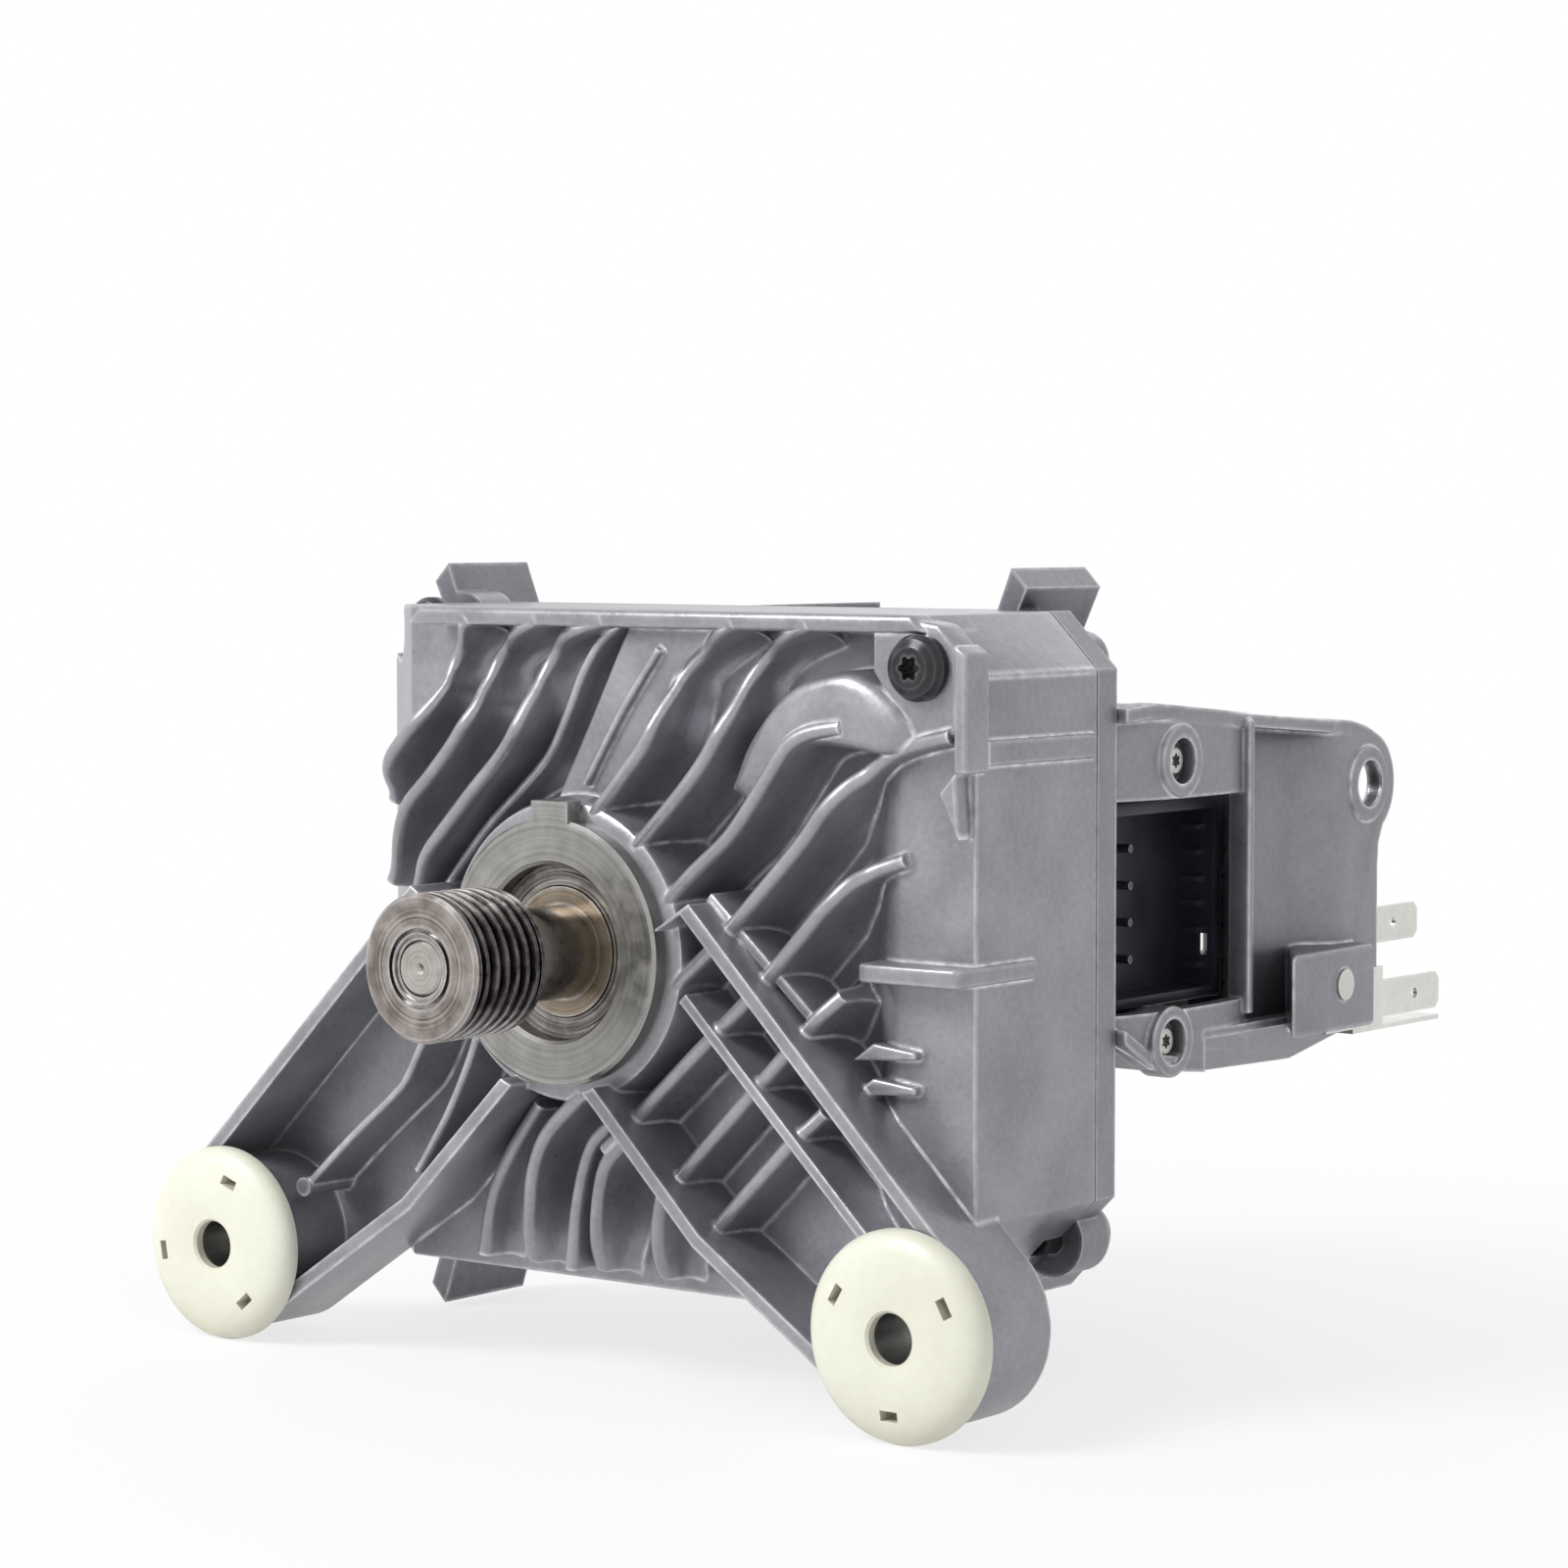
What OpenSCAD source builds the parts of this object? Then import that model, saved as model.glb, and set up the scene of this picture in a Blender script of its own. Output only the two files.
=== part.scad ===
// Washing machine drive motor with a die-cast, finned front shield.
// Millimetres. The origin is the centre of the bearing sleeve's front face.
// The shaft runs along Y, the pulley points towards -Y and +Z is up.

/* [Casing] */
// Half-width of the main casing about the shaft
case_half_w = 61; // [60:0.5:66]
// Height of the casing's top above the shaft
case_top = 54.7; // [54:0.1:60]
// Depth of the casing's bottom below the shaft
case_bottom = 55; // [54:0.5:60]
// Width of the wiring bay at the right of the main casing
bay_w = 15; // [14:0.5:20]
// Front face of the wiring bay, behind the hub face
bay_y = 10; // [8:0.5:12]
// Front face of the shield's web, behind the hub face
web_y = 15; // [14:0.5:16]
// Plane where the front shield meets the rear housing
joint_y = 43; // [40:0.5:48]
// Thickness of the casting walls
wall = 3; // [2.5:0.1:3.5]
// Thickness of the rear housing's flange
flange_t = 5.5; // [4:0.5:7]
// How far the terminal bracket's mounting faces lie inside the flange
barrel_inset = 2.5; // [1.5:0.25:3]
// Chamfer at the top of the wiring bay
bay_chamfer_top = 9; // [7:0.5:9.5]
// Chamfer at the bottom of the wiring bay
bay_chamfer_bottom = 17; // [12:0.5:20]
// Chamfer of the two left corners
left_chamfer = 10; // [8:0.5:12]

/* [Fins] */
// Depth of the fin crests behind the hub face
crest_y = 3.2; // [3:0.1:5]
// Offset of the first fin at the right of the hub from the diagonal through the shaft
fin_first = -11.6; // [-12.2:0.1:-11]
// Thickness of a fin
fin_t = 2.2; // [1.6:0.1:3]
// Distance between the fins at the right of the hub
fin_pitch = 10.3; // [9:0.1:11]
// Distance between the fins at the left of the hub
fin_pitch_left = 7.6; // [7:0.1:8]
// Depth of the valley that crosses the fins below the top rim
valley_y = 10; // [8:0.25:11]
// Height of that valley above the shaft
valley_z = 47.5; // [46:0.25:49]
// Front edge of the top rim
rim_y = 5.5; // [4:0.25:7]

/* [Hub and arms] */
// Radius of the cast hub around the bearing sleeve
hub_r = 24.5; // [23.5:0.25:26]
// Half of the distance between the two bushes
bush_x = 70.8; // [68:0.1:74]
// Depth of the bush axes below the shaft
bush_z = 53.5; // [51:0.1:56]
// Outer radius of an arm's boss
boss_r = 15; // [14:0.25:16]
// Front face of an arm's boss, negative in front of the hub face
boss_y = -1; // [-2:0.1:0]
// Back face of an arm's boss
boss_back_y = 16; // [14:0.5:18]
// Thickness of the arm walls
arm_wall = 2.4; // [2:0.1:3]
// Distance of an arm's lower wall from the diagonal through the shaft
arm_lower = 10.2; // [9:0.2:12]
// Distance from the shaft, across, at which an arm's lower wall turns to the boss
arm_bend_x = 29.8; // [28:0.2:32]

/* [Bushes] */
// Radius of a bush's front flange
bush_flange_r = 16.4; // [15.5:0.1:17.5]
// Thickness of a bush's front flange
bush_flange_t = 4.5; // [3.5:0.25:6]
// Radius of a bush's barrel
bush_barrel_r = 11.4; // [10:0.1:12]
// Radius of the bolt hole through a bush
bush_bore_r = 4; // [3.5:0.1:4.5]

/* [Bearings and shaft] */
// Radius of the bearing sleeve's front flange
sleeve_r = 21.5; // [20.5:0.25:22.5]
// Radius of the sleeve's opening around the shaft
sleeve_opening_r = 14.2; // [12:0.1:15]
// Width of the front bearing
front_bearing_w = 11; // [10:0.5:12]
// Outer radius of the front bearing
front_bearing_r = 17.5; // [17:0.1:18]
// Shaft radius in the front bearing
front_seat_r = 7.5; // [7:0.1:8]
// Width of the rear bearing
rear_bearing_w = 10; // [9:0.5:11]
// Outer radius of the rear bearing
rear_bearing_r = 16; // [15.5:0.1:16.5]
// Shaft radius in the rear bearing
rear_seat_r = 6; // [5.5:0.1:6.5]
// Radius of the bearing balls
ball_r = 2.97; // [2.8:0.01:3]

/* [Pulley] */
// Radius over the pulley's ridges
pulley_r = 11.7; // [11:0.1:13]
// Front face of the pulley, in front of the hub face
pulley_front = 30.9; // [29:0.1:33]
// Back face of the pulley, in front of the hub face
pulley_back = 14.3; // [13:0.1:15]
// Distance between the grooves of the ribbed belt
groove_pitch = 2.34; // [2:0.02:2.6]
// Depth of a groove
groove_depth = 1.9; // [1.4:0.1:2.2]
// Radius of the shaft's nose inside the pulley
nose_r = 4.4; // [4:0.1:4.8]

/* [Electrical] */
// Distance of the stator's edge inside the casing's bottom
stator_inset = 5; // [4.7:0.1:6]
// Depth of the stator stack from its outside to its bore
stator_depth = 22.4; // [21:0.1:23]
// Front end of the stator stack
stack_y = 31; // [30:0.5:32]
// Length of the stator and rotor stacks
stack_len = 48; // [44:1:49]
// Air gap between the rotor and the stator teeth
air_gap = 0.6; // [0.4:0.05:1]
// Number of stator teeth and coils
teeth = 12; // [9:3:12]
// Number of rotor magnets
poles = 8; // [6:2:8]
// Width of the steel bridge between two rotor magnets
magnet_bridge = 4; // [3:0.1:5]
// Thickness of a rotor magnet
magnet_t = 3; // [2.4:0.1:3.4]

/* [Rear] */
// Distance from the stator stack back to the rear face
rear_room = 25; // [24.5:0.5:30]
// How far the terminal bracket stands out past the main casing
bracket_out = 17; // [16.5:0.25:19]
// Thickness of the bracket's plate
bracket_t = 2.5; // [2:0.1:3]
// Distance of the bracket's mounting hole behind the hub face
ear_hole_y = 124; // [122:0.5:127]
// Height of the bracket's mounting hole
ear_hole_z = 24; // [22:0.5:26]
// Radius of the bracket's mounting hole
ear_hole_r = 4; // [3.5:0.1:4.5]
// Width of a spade blade
blade_w = 6.3; // [4.8:0.1:6.6]
// Thickness of a spade blade
blade_t = 0.8; // [0.6:0.1:1]

/* [Hidden] */

cut = 0.5;          // overshoot of a cut past the face that it opens
fit = 0.03;         // clearance of a seated fit
diag = sqrt(2);

case_left = -case_half_w;
case_right = case_half_w + bay_w;
bay_x = case_half_w - 2;
crest_left = 45;
shoulder_y = 31;
panel_at = -fin_first - 0.6;
panel_w = 13;

front_bearing_y = 3;
sleeve_back = front_bearing_y + front_bearing_w + 2.2;
sleeve_barrel_r = front_bearing_r + 2;
stack_end = stack_y + stack_len;
stator_r = min(case_half_w - 6, case_bottom, case_top + 0.3) - stator_inset;
stator_bore = stator_r - stator_depth;
rotor_r = stator_bore - air_gap;
magnet_seat = rotor_r - magnet_t - 3.5;
magnet_w = 2 * magnet_seat * tan(180 / poles) - magnet_bridge;
rotor_bore = 9;
slot_in = stator_bore + 3.4;
slot_out = stator_r - 6;
tooth_w = 8 * 12 / teeth;
insulator_h = 5;
insulator_t = 1.6;
insulator_front = stack_y - insulator_h;
insulator_rear = stack_end + insulator_h;
post_angles = [45, 165, 285];
post_at = stator_r - 3.6;
board_gap = 4;
board_t = 1.6;
coil_over = 7;

rear_y = stack_end + rear_room;
rear_inner_y = rear_y - wall;
washer_t = 1.2;
rear_bearing_back = rear_y - washer_t;
rear_bearing_y = rear_bearing_back - rear_bearing_w;
rear_hub_r = rear_bearing_r + 9;
front_pitch = (front_bearing_r + front_seat_r) / 2;
rear_pitch = (rear_bearing_r + rear_seat_r) / 2;
front_ball_count = 8;
rear_ball_count = 7;
rear_cap_t = 2.5;
barrel_half = case_half_w - barrel_inset;
barrel_r = stator_r + wall;
barrel_end = insulator_rear + 8;
rear_shoulder = 16;
cone_r = rear_hub_r + rear_shoulder;
ear_t = 3.5;
ear_len = 21;
ear_root_x = barrel_half - 5.5;
ear_root_z = 45;
rib_t = 2;
rib_h = 1.6;
foot_root = barrel_r / 2 + 9;
foot_r = 6;
cap_screw_angles = [30, 150, 270];
cap_screw_r = 1.5;
cap_screw_at = rear_bearing_r + 5;

screw_shank_r = 2.2;
screw_head_r = 5.15;
screw_head_t = 3.4;
plate_y = bay_y - 3.6;
screw_right = [case_right - 7.7, case_top - 7.9];
screw_left = [case_left + left_chamfer / 2 - 0.5, case_top - left_chamfer / 2 + 0.8];
screw_low = [
    [case_left + left_chamfer / 2 - 1, -case_bottom + left_chamfer / 2 - 0.5],
    [case_right - bay_chamfer_bottom / 2, -case_bottom + bay_chamfer_bottom / 2 + 1.5]
];
lug_screws = concat([screw_left], screw_low);
lug_y = joint_y - 7;
lug_r = 6;
lug_back = joint_y + 8;
lug_skin = 2;

arm_len = 52;
bush_front_y = boss_y - bush_flange_t;
bush_tube_r = bush_bore_r + 1.25;
bush_lip = 2.1;

lead_y = insulator_rear - 1;
lead_z = [3, 7, 11];
lead_r = 1.1;
port_w = 12;
port_h = 14;
port_wall = 3;
port_room = 1.5;

bracket_x = case_half_w + bracket_out;
bracket_y0 = joint_y + flange_t + 0.4;
window_y = [joint_y + flange_t + 1.5, 86.5];
window_z = [-9.5, 24.5];
bracket_end_y = ear_hole_y + 3.5;
block_x = barrel_half + 1.2;
pin_y = window_y[0] + 14;
pin_z = [-2, 4, 10, 16];
pin_r = 0.7;
top_boss = [joint_y + 21.5, 30.5];
low_boss = [joint_y + 19, -14.5];
latch_y = [96.5, bracket_end_y];
latch_z = [-16.8, -2.8];
rivet_at = [109, -9];
rivet_r = 1.6;
rivet_len = 6.5;
pad_t = 3;
trough = 5;
blade_root = latch_y[1] - 7.8;
blade_out = 18.5;
tab_out = 15;
fold_z = -17;

// Places a child that is drawn along +Z onto the shaft, pointing backwards from y0
module on_shaft(y0 = 0) {
    translate([0, y0, 0]) rotate([-90, 0, 0]) children();
}

// Extrudes an outline drawn in X and Z from y0 back to y1
module slab(y0, y1) {
    translate([0, y1, 0]) rotate([90, 0, 0]) linear_extrude(y1 - y0) children();
}

// Extrudes a plan drawn in X and Y from z0 up to z1
module plan(z0, z1) {
    translate([0, 0, z0]) linear_extrude(z1 - z0) children();
}

// Extrudes a side view drawn in Y and Z from x0 to x1
module side(x0, x1) {
    translate([x0, 0, 0]) rotate([90, 0, 90]) linear_extrude(x1 - x0) children();
}

// Solid of revolution on the shaft from [radius, y] points
module turned(points) {
    rotate([-90, 0, 0]) rotate_extrude($fn = 96) polygon(points);
}

module disc(r, y0, y1) {
    on_shaft(y0) cylinder(r = r, h = y1 - y0, $fn = 96);
}

module ring(r_out, r_in, y0, y1) {
    turned([[r_in, y0], [r_out, y0], [r_out, y1], [r_in, y1]]);
}

module at(p) {
    translate([p[0], 0, p[1]]) children();
}

// Casing outline in X and Z, set in by d on every side
module casing(d = 0) {
    s = d * (2 - diag);
    l = case_left + d;
    r = case_right - d;
    t = case_top - d;
    b = -case_bottom + d;
    ct = bay_chamfer_top - s;
    cb = bay_chamfer_bottom - s;
    cl = left_chamfer - s;
    polygon([
        [l + cl, t], [r - ct, t], [r, t - ct], [r, b + cb], [r - cb, b],
        [l + cl, b], [l, b + cl], [l, t - cl]
    ]);
}

// Smooth blend from 0 to 1
function ease(t) = let (u = min(max(t, 0), 1)) u * u * (3 - 2 * u);

// Depth of the fin crests at height z: flat, then a valley and a rim, round below
function crest_top(z) =
    z < valley_z
        ? crest_y + (valley_y - crest_y) * ease((z - valley_z + 13) / 13)
        : valley_y + (rim_y - valley_y) * ease((z - valley_z) / (case_top - 1.7 - valley_z));
function crest_low(z) =
    crest_y + (web_y + 0.5 - crest_y) * (1 - sqrt(1 - pow(min(max((-37 - z) / 18, 0), 1), 2)));
function crest_at(z) = z > 0 ? crest_top(z) : crest_low(z);

// Side view of the space that the fins fill
module crest_side() {
    up = [for (i = [0:14]) let (z = 33 + (case_top - 33) * i / 14) [crest_at(z), z]];
    down = [for (i = [0:10]) let (z = -37 - 18 * sin(9 * i)) [crest_at(z), z]];
    polygon(concat(
        [[web_y + 1, -37 - 18], [web_y + 1, case_top]],
        [for (i = [14:-1:0]) up[i]],
        down
    ));
}

// Plan of the space that the fins fill: square at the left, round at the right
module crest_plan() {
    r = 9;
    polygon(concat(
        [[-crest_left - 6, web_y + 6], [-crest_left, crest_y]],
        [for (a = [0:10:90]) [bay_x - r + r * sin(a), crest_y + r * (1 - cos(a))]],
        [[bay_x, web_y + 1], [-crest_left + 2, web_y + 1], [-crest_left + 2, web_y + 6]]
    ));
}

// Offset of fin number k from the line through the shaft at 45 degrees
function fin_offset(k) = fin_first + (k < 0 ? fin_pitch_left * (k - 0.7) : fin_pitch * k);

// Slabs at 45 degrees, from the lower left to the upper right
module fin_slabs(first, last) {
    for (k = [first:last])
        rotate([0, -45, 0])
            translate([-120, -10, -fin_offset(k) - fin_t / 2])
                cube([240, 40, fin_t]);
}

// Where a line from p touches the lower side of the circle round c
function tangent_point(p, c, r) =
    let (v = c - p, t = atan2(v[1], v[0]) - asin(r / norm(v))) c + r * [sin(t), -cos(t)];

// Corners of the right arm in X and Z, set in by d
function arm_points(d) =
    let (
        c = [bush_x, -bush_z],
        n = [1, 1] / diag,
        along = [1, -1] / diag,
        r = boss_r - d,
        inwards = [0.55, 0.83],
        bend = [arm_bend_x, -arm_bend_x - arm_lower * diag] + d * inwards,
        low = tangent_point(bend, c, r)
    )
    [c + r * n, c + r * n - arm_len * along, -arm_lower * n + 6 * along + d * n, bend, low];

module arm_outline(d = 0) {
    translate([bush_x, -bush_z]) circle(r = boss_r - d, $fn = 72);
    polygon(arm_points(d));
}

// Open channel with its floor at the back, ribs inside and a boss at the end
module arm() {
    difference() {
        slab(boss_y, boss_back_y) arm_outline();
        difference() {
            slab(boss_y - cut, boss_back_y - wall) arm_outline(arm_wall);
            at([bush_x, -bush_z]) disc(bush_barrel_r + 0.1 + arm_wall, boss_y - 1, boss_back_y);
            arm_ribs();
        }
        at([bush_x, -bush_z]) disc(bush_barrel_r + 0.1, boss_y - cut, boss_back_y + cut);
        disc(hub_r - 1, boss_y - 1, boss_back_y + cut);
    }
}

// One rib along the arm and two across it
module arm_ribs() {
    mid = (bush_x - bush_z) / diag;
    rotate([0, 45, 0]) translate([24, 1.5, mid - fin_t / 2]) cube([50, boss_back_y, fin_t]);
    for (k = [5, 6])
        rotate([0, -45, 0])
            translate([-60, 1.5, -fin_offset(k) - fin_t / 2]) cube([120, boss_back_y, fin_t]);
}

// Corner plate, ledge and tab on the front of the wiring bay
module bay_details() {
    l = bay_x + 3;
    r = case_right;
    t = case_top - 0.7;
    slab(plate_y, bay_y + 1)
        polygon([[l, 36], [r, 37.5], [r, t - 5], [r - 4.5, t], [l, t]]);
    slab(bay_y - 5.8, web_y)
        polygon([[l - 6, 33], [r, 36.2], [r, 38.2], [l - 6, 35]]);
    plan(0.6, 2.8)
        polygon([[bay_x, bay_y + 1], [bay_x - 1, 4], [r, 3.9], [r + 0.8, 4.6], [r + 0.8, 25], [r - 1, 26]]);
    for (z = [-16, -22])
        slab(bay_y - 2, bay_y + 1)
            polygon([[bay_x - 1, z - 1], [bay_x + 4, z + 1.6], [bay_x + 9, z + 0.4]]);
}

module key_tab(y1) {
    slab(0, y1) translate([-3.8, sleeve_r - 2]) square([7.6, 4.8]);
}

// Plan of the shield behind its web, with the left shoulder
module shoulder_plan() {
    plan(-case_bottom - 1, case_top + 1)
        polygon([
            [-crest_left + 2, web_y], [case_right + 1, web_y], [case_right + 1, joint_y + 1],
            [case_left - 1, joint_y + 1], [case_left - 1, shoulder_y], [case_left, shoulder_y]
        ]);
}

module shield_body() {
    // skirt with the left shoulder, and the web
    intersection() {
        slab(web_y, joint_y) casing();
        shoulder_plan();
    }
    // wiring bay
    intersection() {
        slab(bay_y, web_y + 1) casing();
        translate([bay_x, 0, -case_bottom - 1]) cube([60, 60, case_bottom + case_top + 2]);
    }
    // top rim
    intersection() {
        slab(rim_y, web_y + 1) casing();
        translate([-30, 0, case_top - 2.4]) cube([100, 60, 10]);
    }
    // fins
    intersection() {
        side(-crest_left - 20, bay_x + 2) crest_side();
        plan(-case_bottom, case_top) crest_plan();
        fin_slabs(-4, 6);
        slab(0, joint_y) casing();
    }
    // smooth raised panel between two fins, with a thin rib
    intersection() {
        slab(valley_y, web_y + 1) casing();
        rotate([0, -45, 0]) translate([20, 0, panel_at]) cube([80, 60, panel_w]);
    }
    intersection() {
        slab(valley_y - 2.5, web_y + 1) casing(3);
        rotate([0, -45, 0]) translate([18, 0, panel_at + 5.6]) cube([50, 60, 1.4]);
    }
    // hub
    turned([
        [0, crest_y], [hub_r - 1.5, crest_y], [hub_r, crest_y + 1.5],
        [hub_r + 1.5, web_y + wall], [0, web_y + wall]
    ]);
    key_tab(crest_y + 2);
    bay_details();
    arm();
    mirror([1, 0, 0]) arm();
}

// Pads that hold the stator's edge in the four corners of a shell's outline
module stator_pads(y0, y1) {
    slab(y0, y1)
        difference() {
            intersection() {
                children();
                for (sx = [-1, 1], sz = [-1, 1])
                    translate([sx * 46 - 16, sz * 44 - 12]) square([32, 24]);
            }
            circle(r = stator_r - 0.8, $fn = 96);
        }
}

module front_shield() {
    color([0.60, 0.60, 0.63])
    difference() {
        union() {
            difference() {
                shield_body();
                // room for the stator
                intersection() {
                    slab(web_y + wall, joint_y + cut) casing(wall);
                    plan(-case_bottom, case_top)
                        polygon([
                            [-crest_left + 4, web_y + wall], [bay_x, web_y + wall], [bay_x, joint_y + 1],
                            [case_left + wall, joint_y + 1], [case_left + wall, shoulder_y + 2]
                        ]);
                }
                // room for the wiring
                intersection() {
                    slab(bay_y + wall, joint_y + cut) casing(wall);
                    translate([bay_x + wall, 0, -60]) cube([60, 60, 120]);
                }
            }
            stator_pads(stack_y - 4, joint_y)
                intersection() {
                    casing(wall / 2);
                    translate([-200, -100]) square([200 + bay_x + wall / 2, 200]);
                }
            // lugs and a boss for the screws, and a wall round the recess of one
            for (p = lug_screws) at(p) disc(lug_r, lug_y, joint_y);
            intersection() {
                at(screw_left) disc(screw_head_r + 2.4, web_y + 2, joint_y);
                slab(web_y, joint_y) casing();
                shoulder_plan();
            }
            at(screw_right) disc(4.6, plate_y, joint_y);
        }
        disc(sleeve_barrel_r + fit, -cut, web_y + wall + cut);
        key_tab(crest_y);
        disc(stator_r + fit, stack_y, joint_y + cut);
        at(screw_left) disc(screw_head_r + 0.4, -1, lug_y);
        for (p = [screw_left, screw_right])
            at(p) disc(screw_shank_r + 0.1, plate_y - 1, joint_y + cut);
        for (p = screw_low)
            at(p) disc(screw_shank_r + 0.1, lug_y + lug_skin, joint_y + cut);
        for (s = [-1, 1])
            at([s * bush_x, -bush_z]) disc(bush_barrel_r + 0.1, boss_y - cut, boss_back_y + cut);
    }
}

module bearing_sleeve() {
    groove = front_bearing_y + front_bearing_w;
    color([0.80, 0.79, 0.75])
    union() {
        turned([
            [sleeve_opening_r, 0.6], [sleeve_opening_r + 0.6, 0],
            [sleeve_r - 0.5, 0], [sleeve_r, 0.5], [sleeve_r, crest_y],
            [sleeve_barrel_r, crest_y], [sleeve_barrel_r, sleeve_back],
            [front_bearing_r + fit, sleeve_back], [front_bearing_r + fit, groove + 1.4],
            [front_bearing_r + 0.8, groove + 1.4], [front_bearing_r + 0.8, groove],
            [front_bearing_r + fit, groove], [front_bearing_r + fit, front_bearing_y],
            [sleeve_opening_r, front_bearing_y]
        ]);
        intersection() {
            key_tab(crest_y);
            ring(sleeve_r + 5, sleeve_r - 1, 0, crest_y);
        }
    }
}

// Plate on side s that leans outwards at the upper (g = 1) or lower corner, with its web
module ear(s, g, tip) {
    near = barrel_r / diag - 1;
    edge = ear_root_x + ear_t;
    slab(joint_y, joint_y + ear_len) {
        polygon([
            [s * ear_root_x, g * ear_root_z], [s * edge, g * ear_root_z],
            [s * tip[0], g * tip[1]], [s * (tip[0] - ear_t + 0.5), g * (tip[1] + ear_t - 0.3)]
        ]);
        polygon([
            [s * near, g * (near + 1.5)], [s * near, g * (near - 1.5)],
            [s * edge, g * ear_root_z], [s * edge, g * (ear_root_z + ear_t)]
        ]);
    }
}

// Room inside the rear housing
module rear_room_shape() {
    turned([
        [0, joint_y - cut], [stator_r + fit, joint_y - cut], [stator_r + fit, barrel_end - 1],
        [cone_r - wall, rear_inner_y], [0, rear_inner_y]
    ]);
}

// Box round the leads' window, larger than it by d on each side
module port_box(x0, x1, d) {
    translate([x0, lead_y - port_w / 2 - d, -d]) cube([x1 - x0, port_w + 2 * d, port_h + 2 * d]);
}

module rear_housing() {
    color([0.57, 0.57, 0.60])
    difference() {
        union() {
            difference() {
                union() {
                    slab(joint_y, joint_y + flange_t) casing();
                    turned([
                        [0, joint_y], [barrel_r, joint_y], [barrel_r, barrel_end],
                        [cone_r, rear_y], [0, rear_y]
                    ]);
                    for (s = [-1, 1]) ear(s, 1, [case_half_w + 1.6, case_top + 3.5]);
                    ear(-1, -1, [case_half_w + 3.2, case_bottom + 11]);
                    ear(1, -1, [case_half_w - 0.5, case_bottom - 2]);
                    for (p = lug_screws) at(p) disc(lug_r, joint_y, lug_back);
                    // cooling ribs along the barrel, but not beside the terminal bracket
                    for (a = [60:15:300])
                        rotate([0, a, 0]) translate([barrel_r - 1, joint_y, -rib_t / 2])
                            cube([rib_h + 1, barrel_end - joint_y - 4, rib_t]);
                    // bosses for the terminal bracket's feet
                    for (p = [top_boss, low_boss])
                        translate([foot_root, p[0], p[1]]) rotate([0, 90, 0])
                            cylinder(r = foot_r, h = barrel_half + 1 - foot_root, $fn = 48);
                    // box round the leads' window
                    port_box(foot_root, barrel_half, port_room + port_wall);
                }
                rear_room_shape();
                port_box(foot_root + 2, barrel_half - wall, port_room);
            }
            disc(rear_hub_r, rear_bearing_y - 0.5, rear_y);
            for (a = [0:45:315])
                rotate([0, a, 0])
                    translate([rear_hub_r - 2, rear_inner_y - 4, -1]) cube([rear_shoulder + 2, 5, 2]);
            at(screw_right) disc(4.6, joint_y, lug_back);
        }
        disc(rear_bearing_r + fit, rear_bearing_y - 1, rear_y + cut);
        for (p = [screw_left, screw_right])
            at(p) disc(screw_shank_r + fit, joint_y - cut, lug_back - 1.5);
        for (p = screw_low) {
            at(p) disc(screw_shank_r + 0.1, joint_y - cut, lug_back + cut);
            at(p) disc(screw_head_r + 0.4, lug_back, rear_y + cut);
        }
        for (a = cap_screw_angles)
            rotate([0, a, 0]) at([cap_screw_at, 0]) disc(cap_screw_r + fit, rear_y - 7, rear_y + cut);
        for (p = [top_boss, low_boss])
            translate([barrel_half - wall - cut, p[0], p[1]])
                rotate([0, 90, 0]) cylinder(r = 1.7 + fit, h = wall + 3, $fn = 32);
        // window for the leads
        translate([barrel_half - wall - cut, lead_y - port_w / 2, 0]) cube([wall + 2, port_w, port_h]);
        // vents in the rear wall
        for (a = [22.5:45:337.5])
            rotate([0, a, 0]) translate([rear_hub_r + 3, rear_inner_y - cut, -2.5])
                cube([rear_shoulder - wall - 4, wall + 2, 5]);
    }
}

module rear_cap() {
    color([0.62, 0.62, 0.65])
    difference() {
        turned([
            [0, rear_y], [rear_hub_r - 0.5, rear_y], [rear_hub_r - 0.5, rear_y + rear_cap_t - 0.8],
            [rear_hub_r - 1.3, rear_y + rear_cap_t], [9, rear_y + rear_cap_t],
            [8, rear_y + rear_cap_t + 1], [0, rear_y + rear_cap_t + 1]
        ]);
        for (a = cap_screw_angles)
            rotate([0, a, 0]) at([cap_screw_at, 0])
                disc(cap_screw_r + 0.1, rear_y - cut, rear_y + rear_cap_t + cut);
    }
}

// Button-head screw along +Z from its head, with a driver recess
module button_screw(head_r, head_t, shank_r, length) {
    difference() {
        union() {
            rotate_extrude($fn = 48)
                polygon([
                    [0, 0], [head_r * 0.62, 0], [head_r * 0.86, head_t * 0.22],
                    [head_r, head_t * 0.6], [head_r, head_t], [0, head_t]
                ]);
            translate([0, 0, head_t]) cylinder(r = shank_r, h = length, $fn = 32);
        }
        translate([0, 0, -cut]) cylinder(r = head_r * 0.28, h = head_t * 0.6 + cut, $fn = 24);
        for (a = [0:60:300])
            rotate([0, 0, a]) translate([head_r * 0.28, 0, -cut])
                cylinder(r = head_r * 0.1, h = head_t * 0.6 + cut, $fn = 16);
    }
}

module rear_cap_screws() {
    color([0.16, 0.16, 0.17])
    for (a = cap_screw_angles)
        rotate([0, a, 0]) translate([cap_screw_at, rear_y + rear_cap_t + 1.8, 0])
            rotate([90, 0, 0]) button_screw(2.8, 1.8, cap_screw_r, 8);
}

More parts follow.
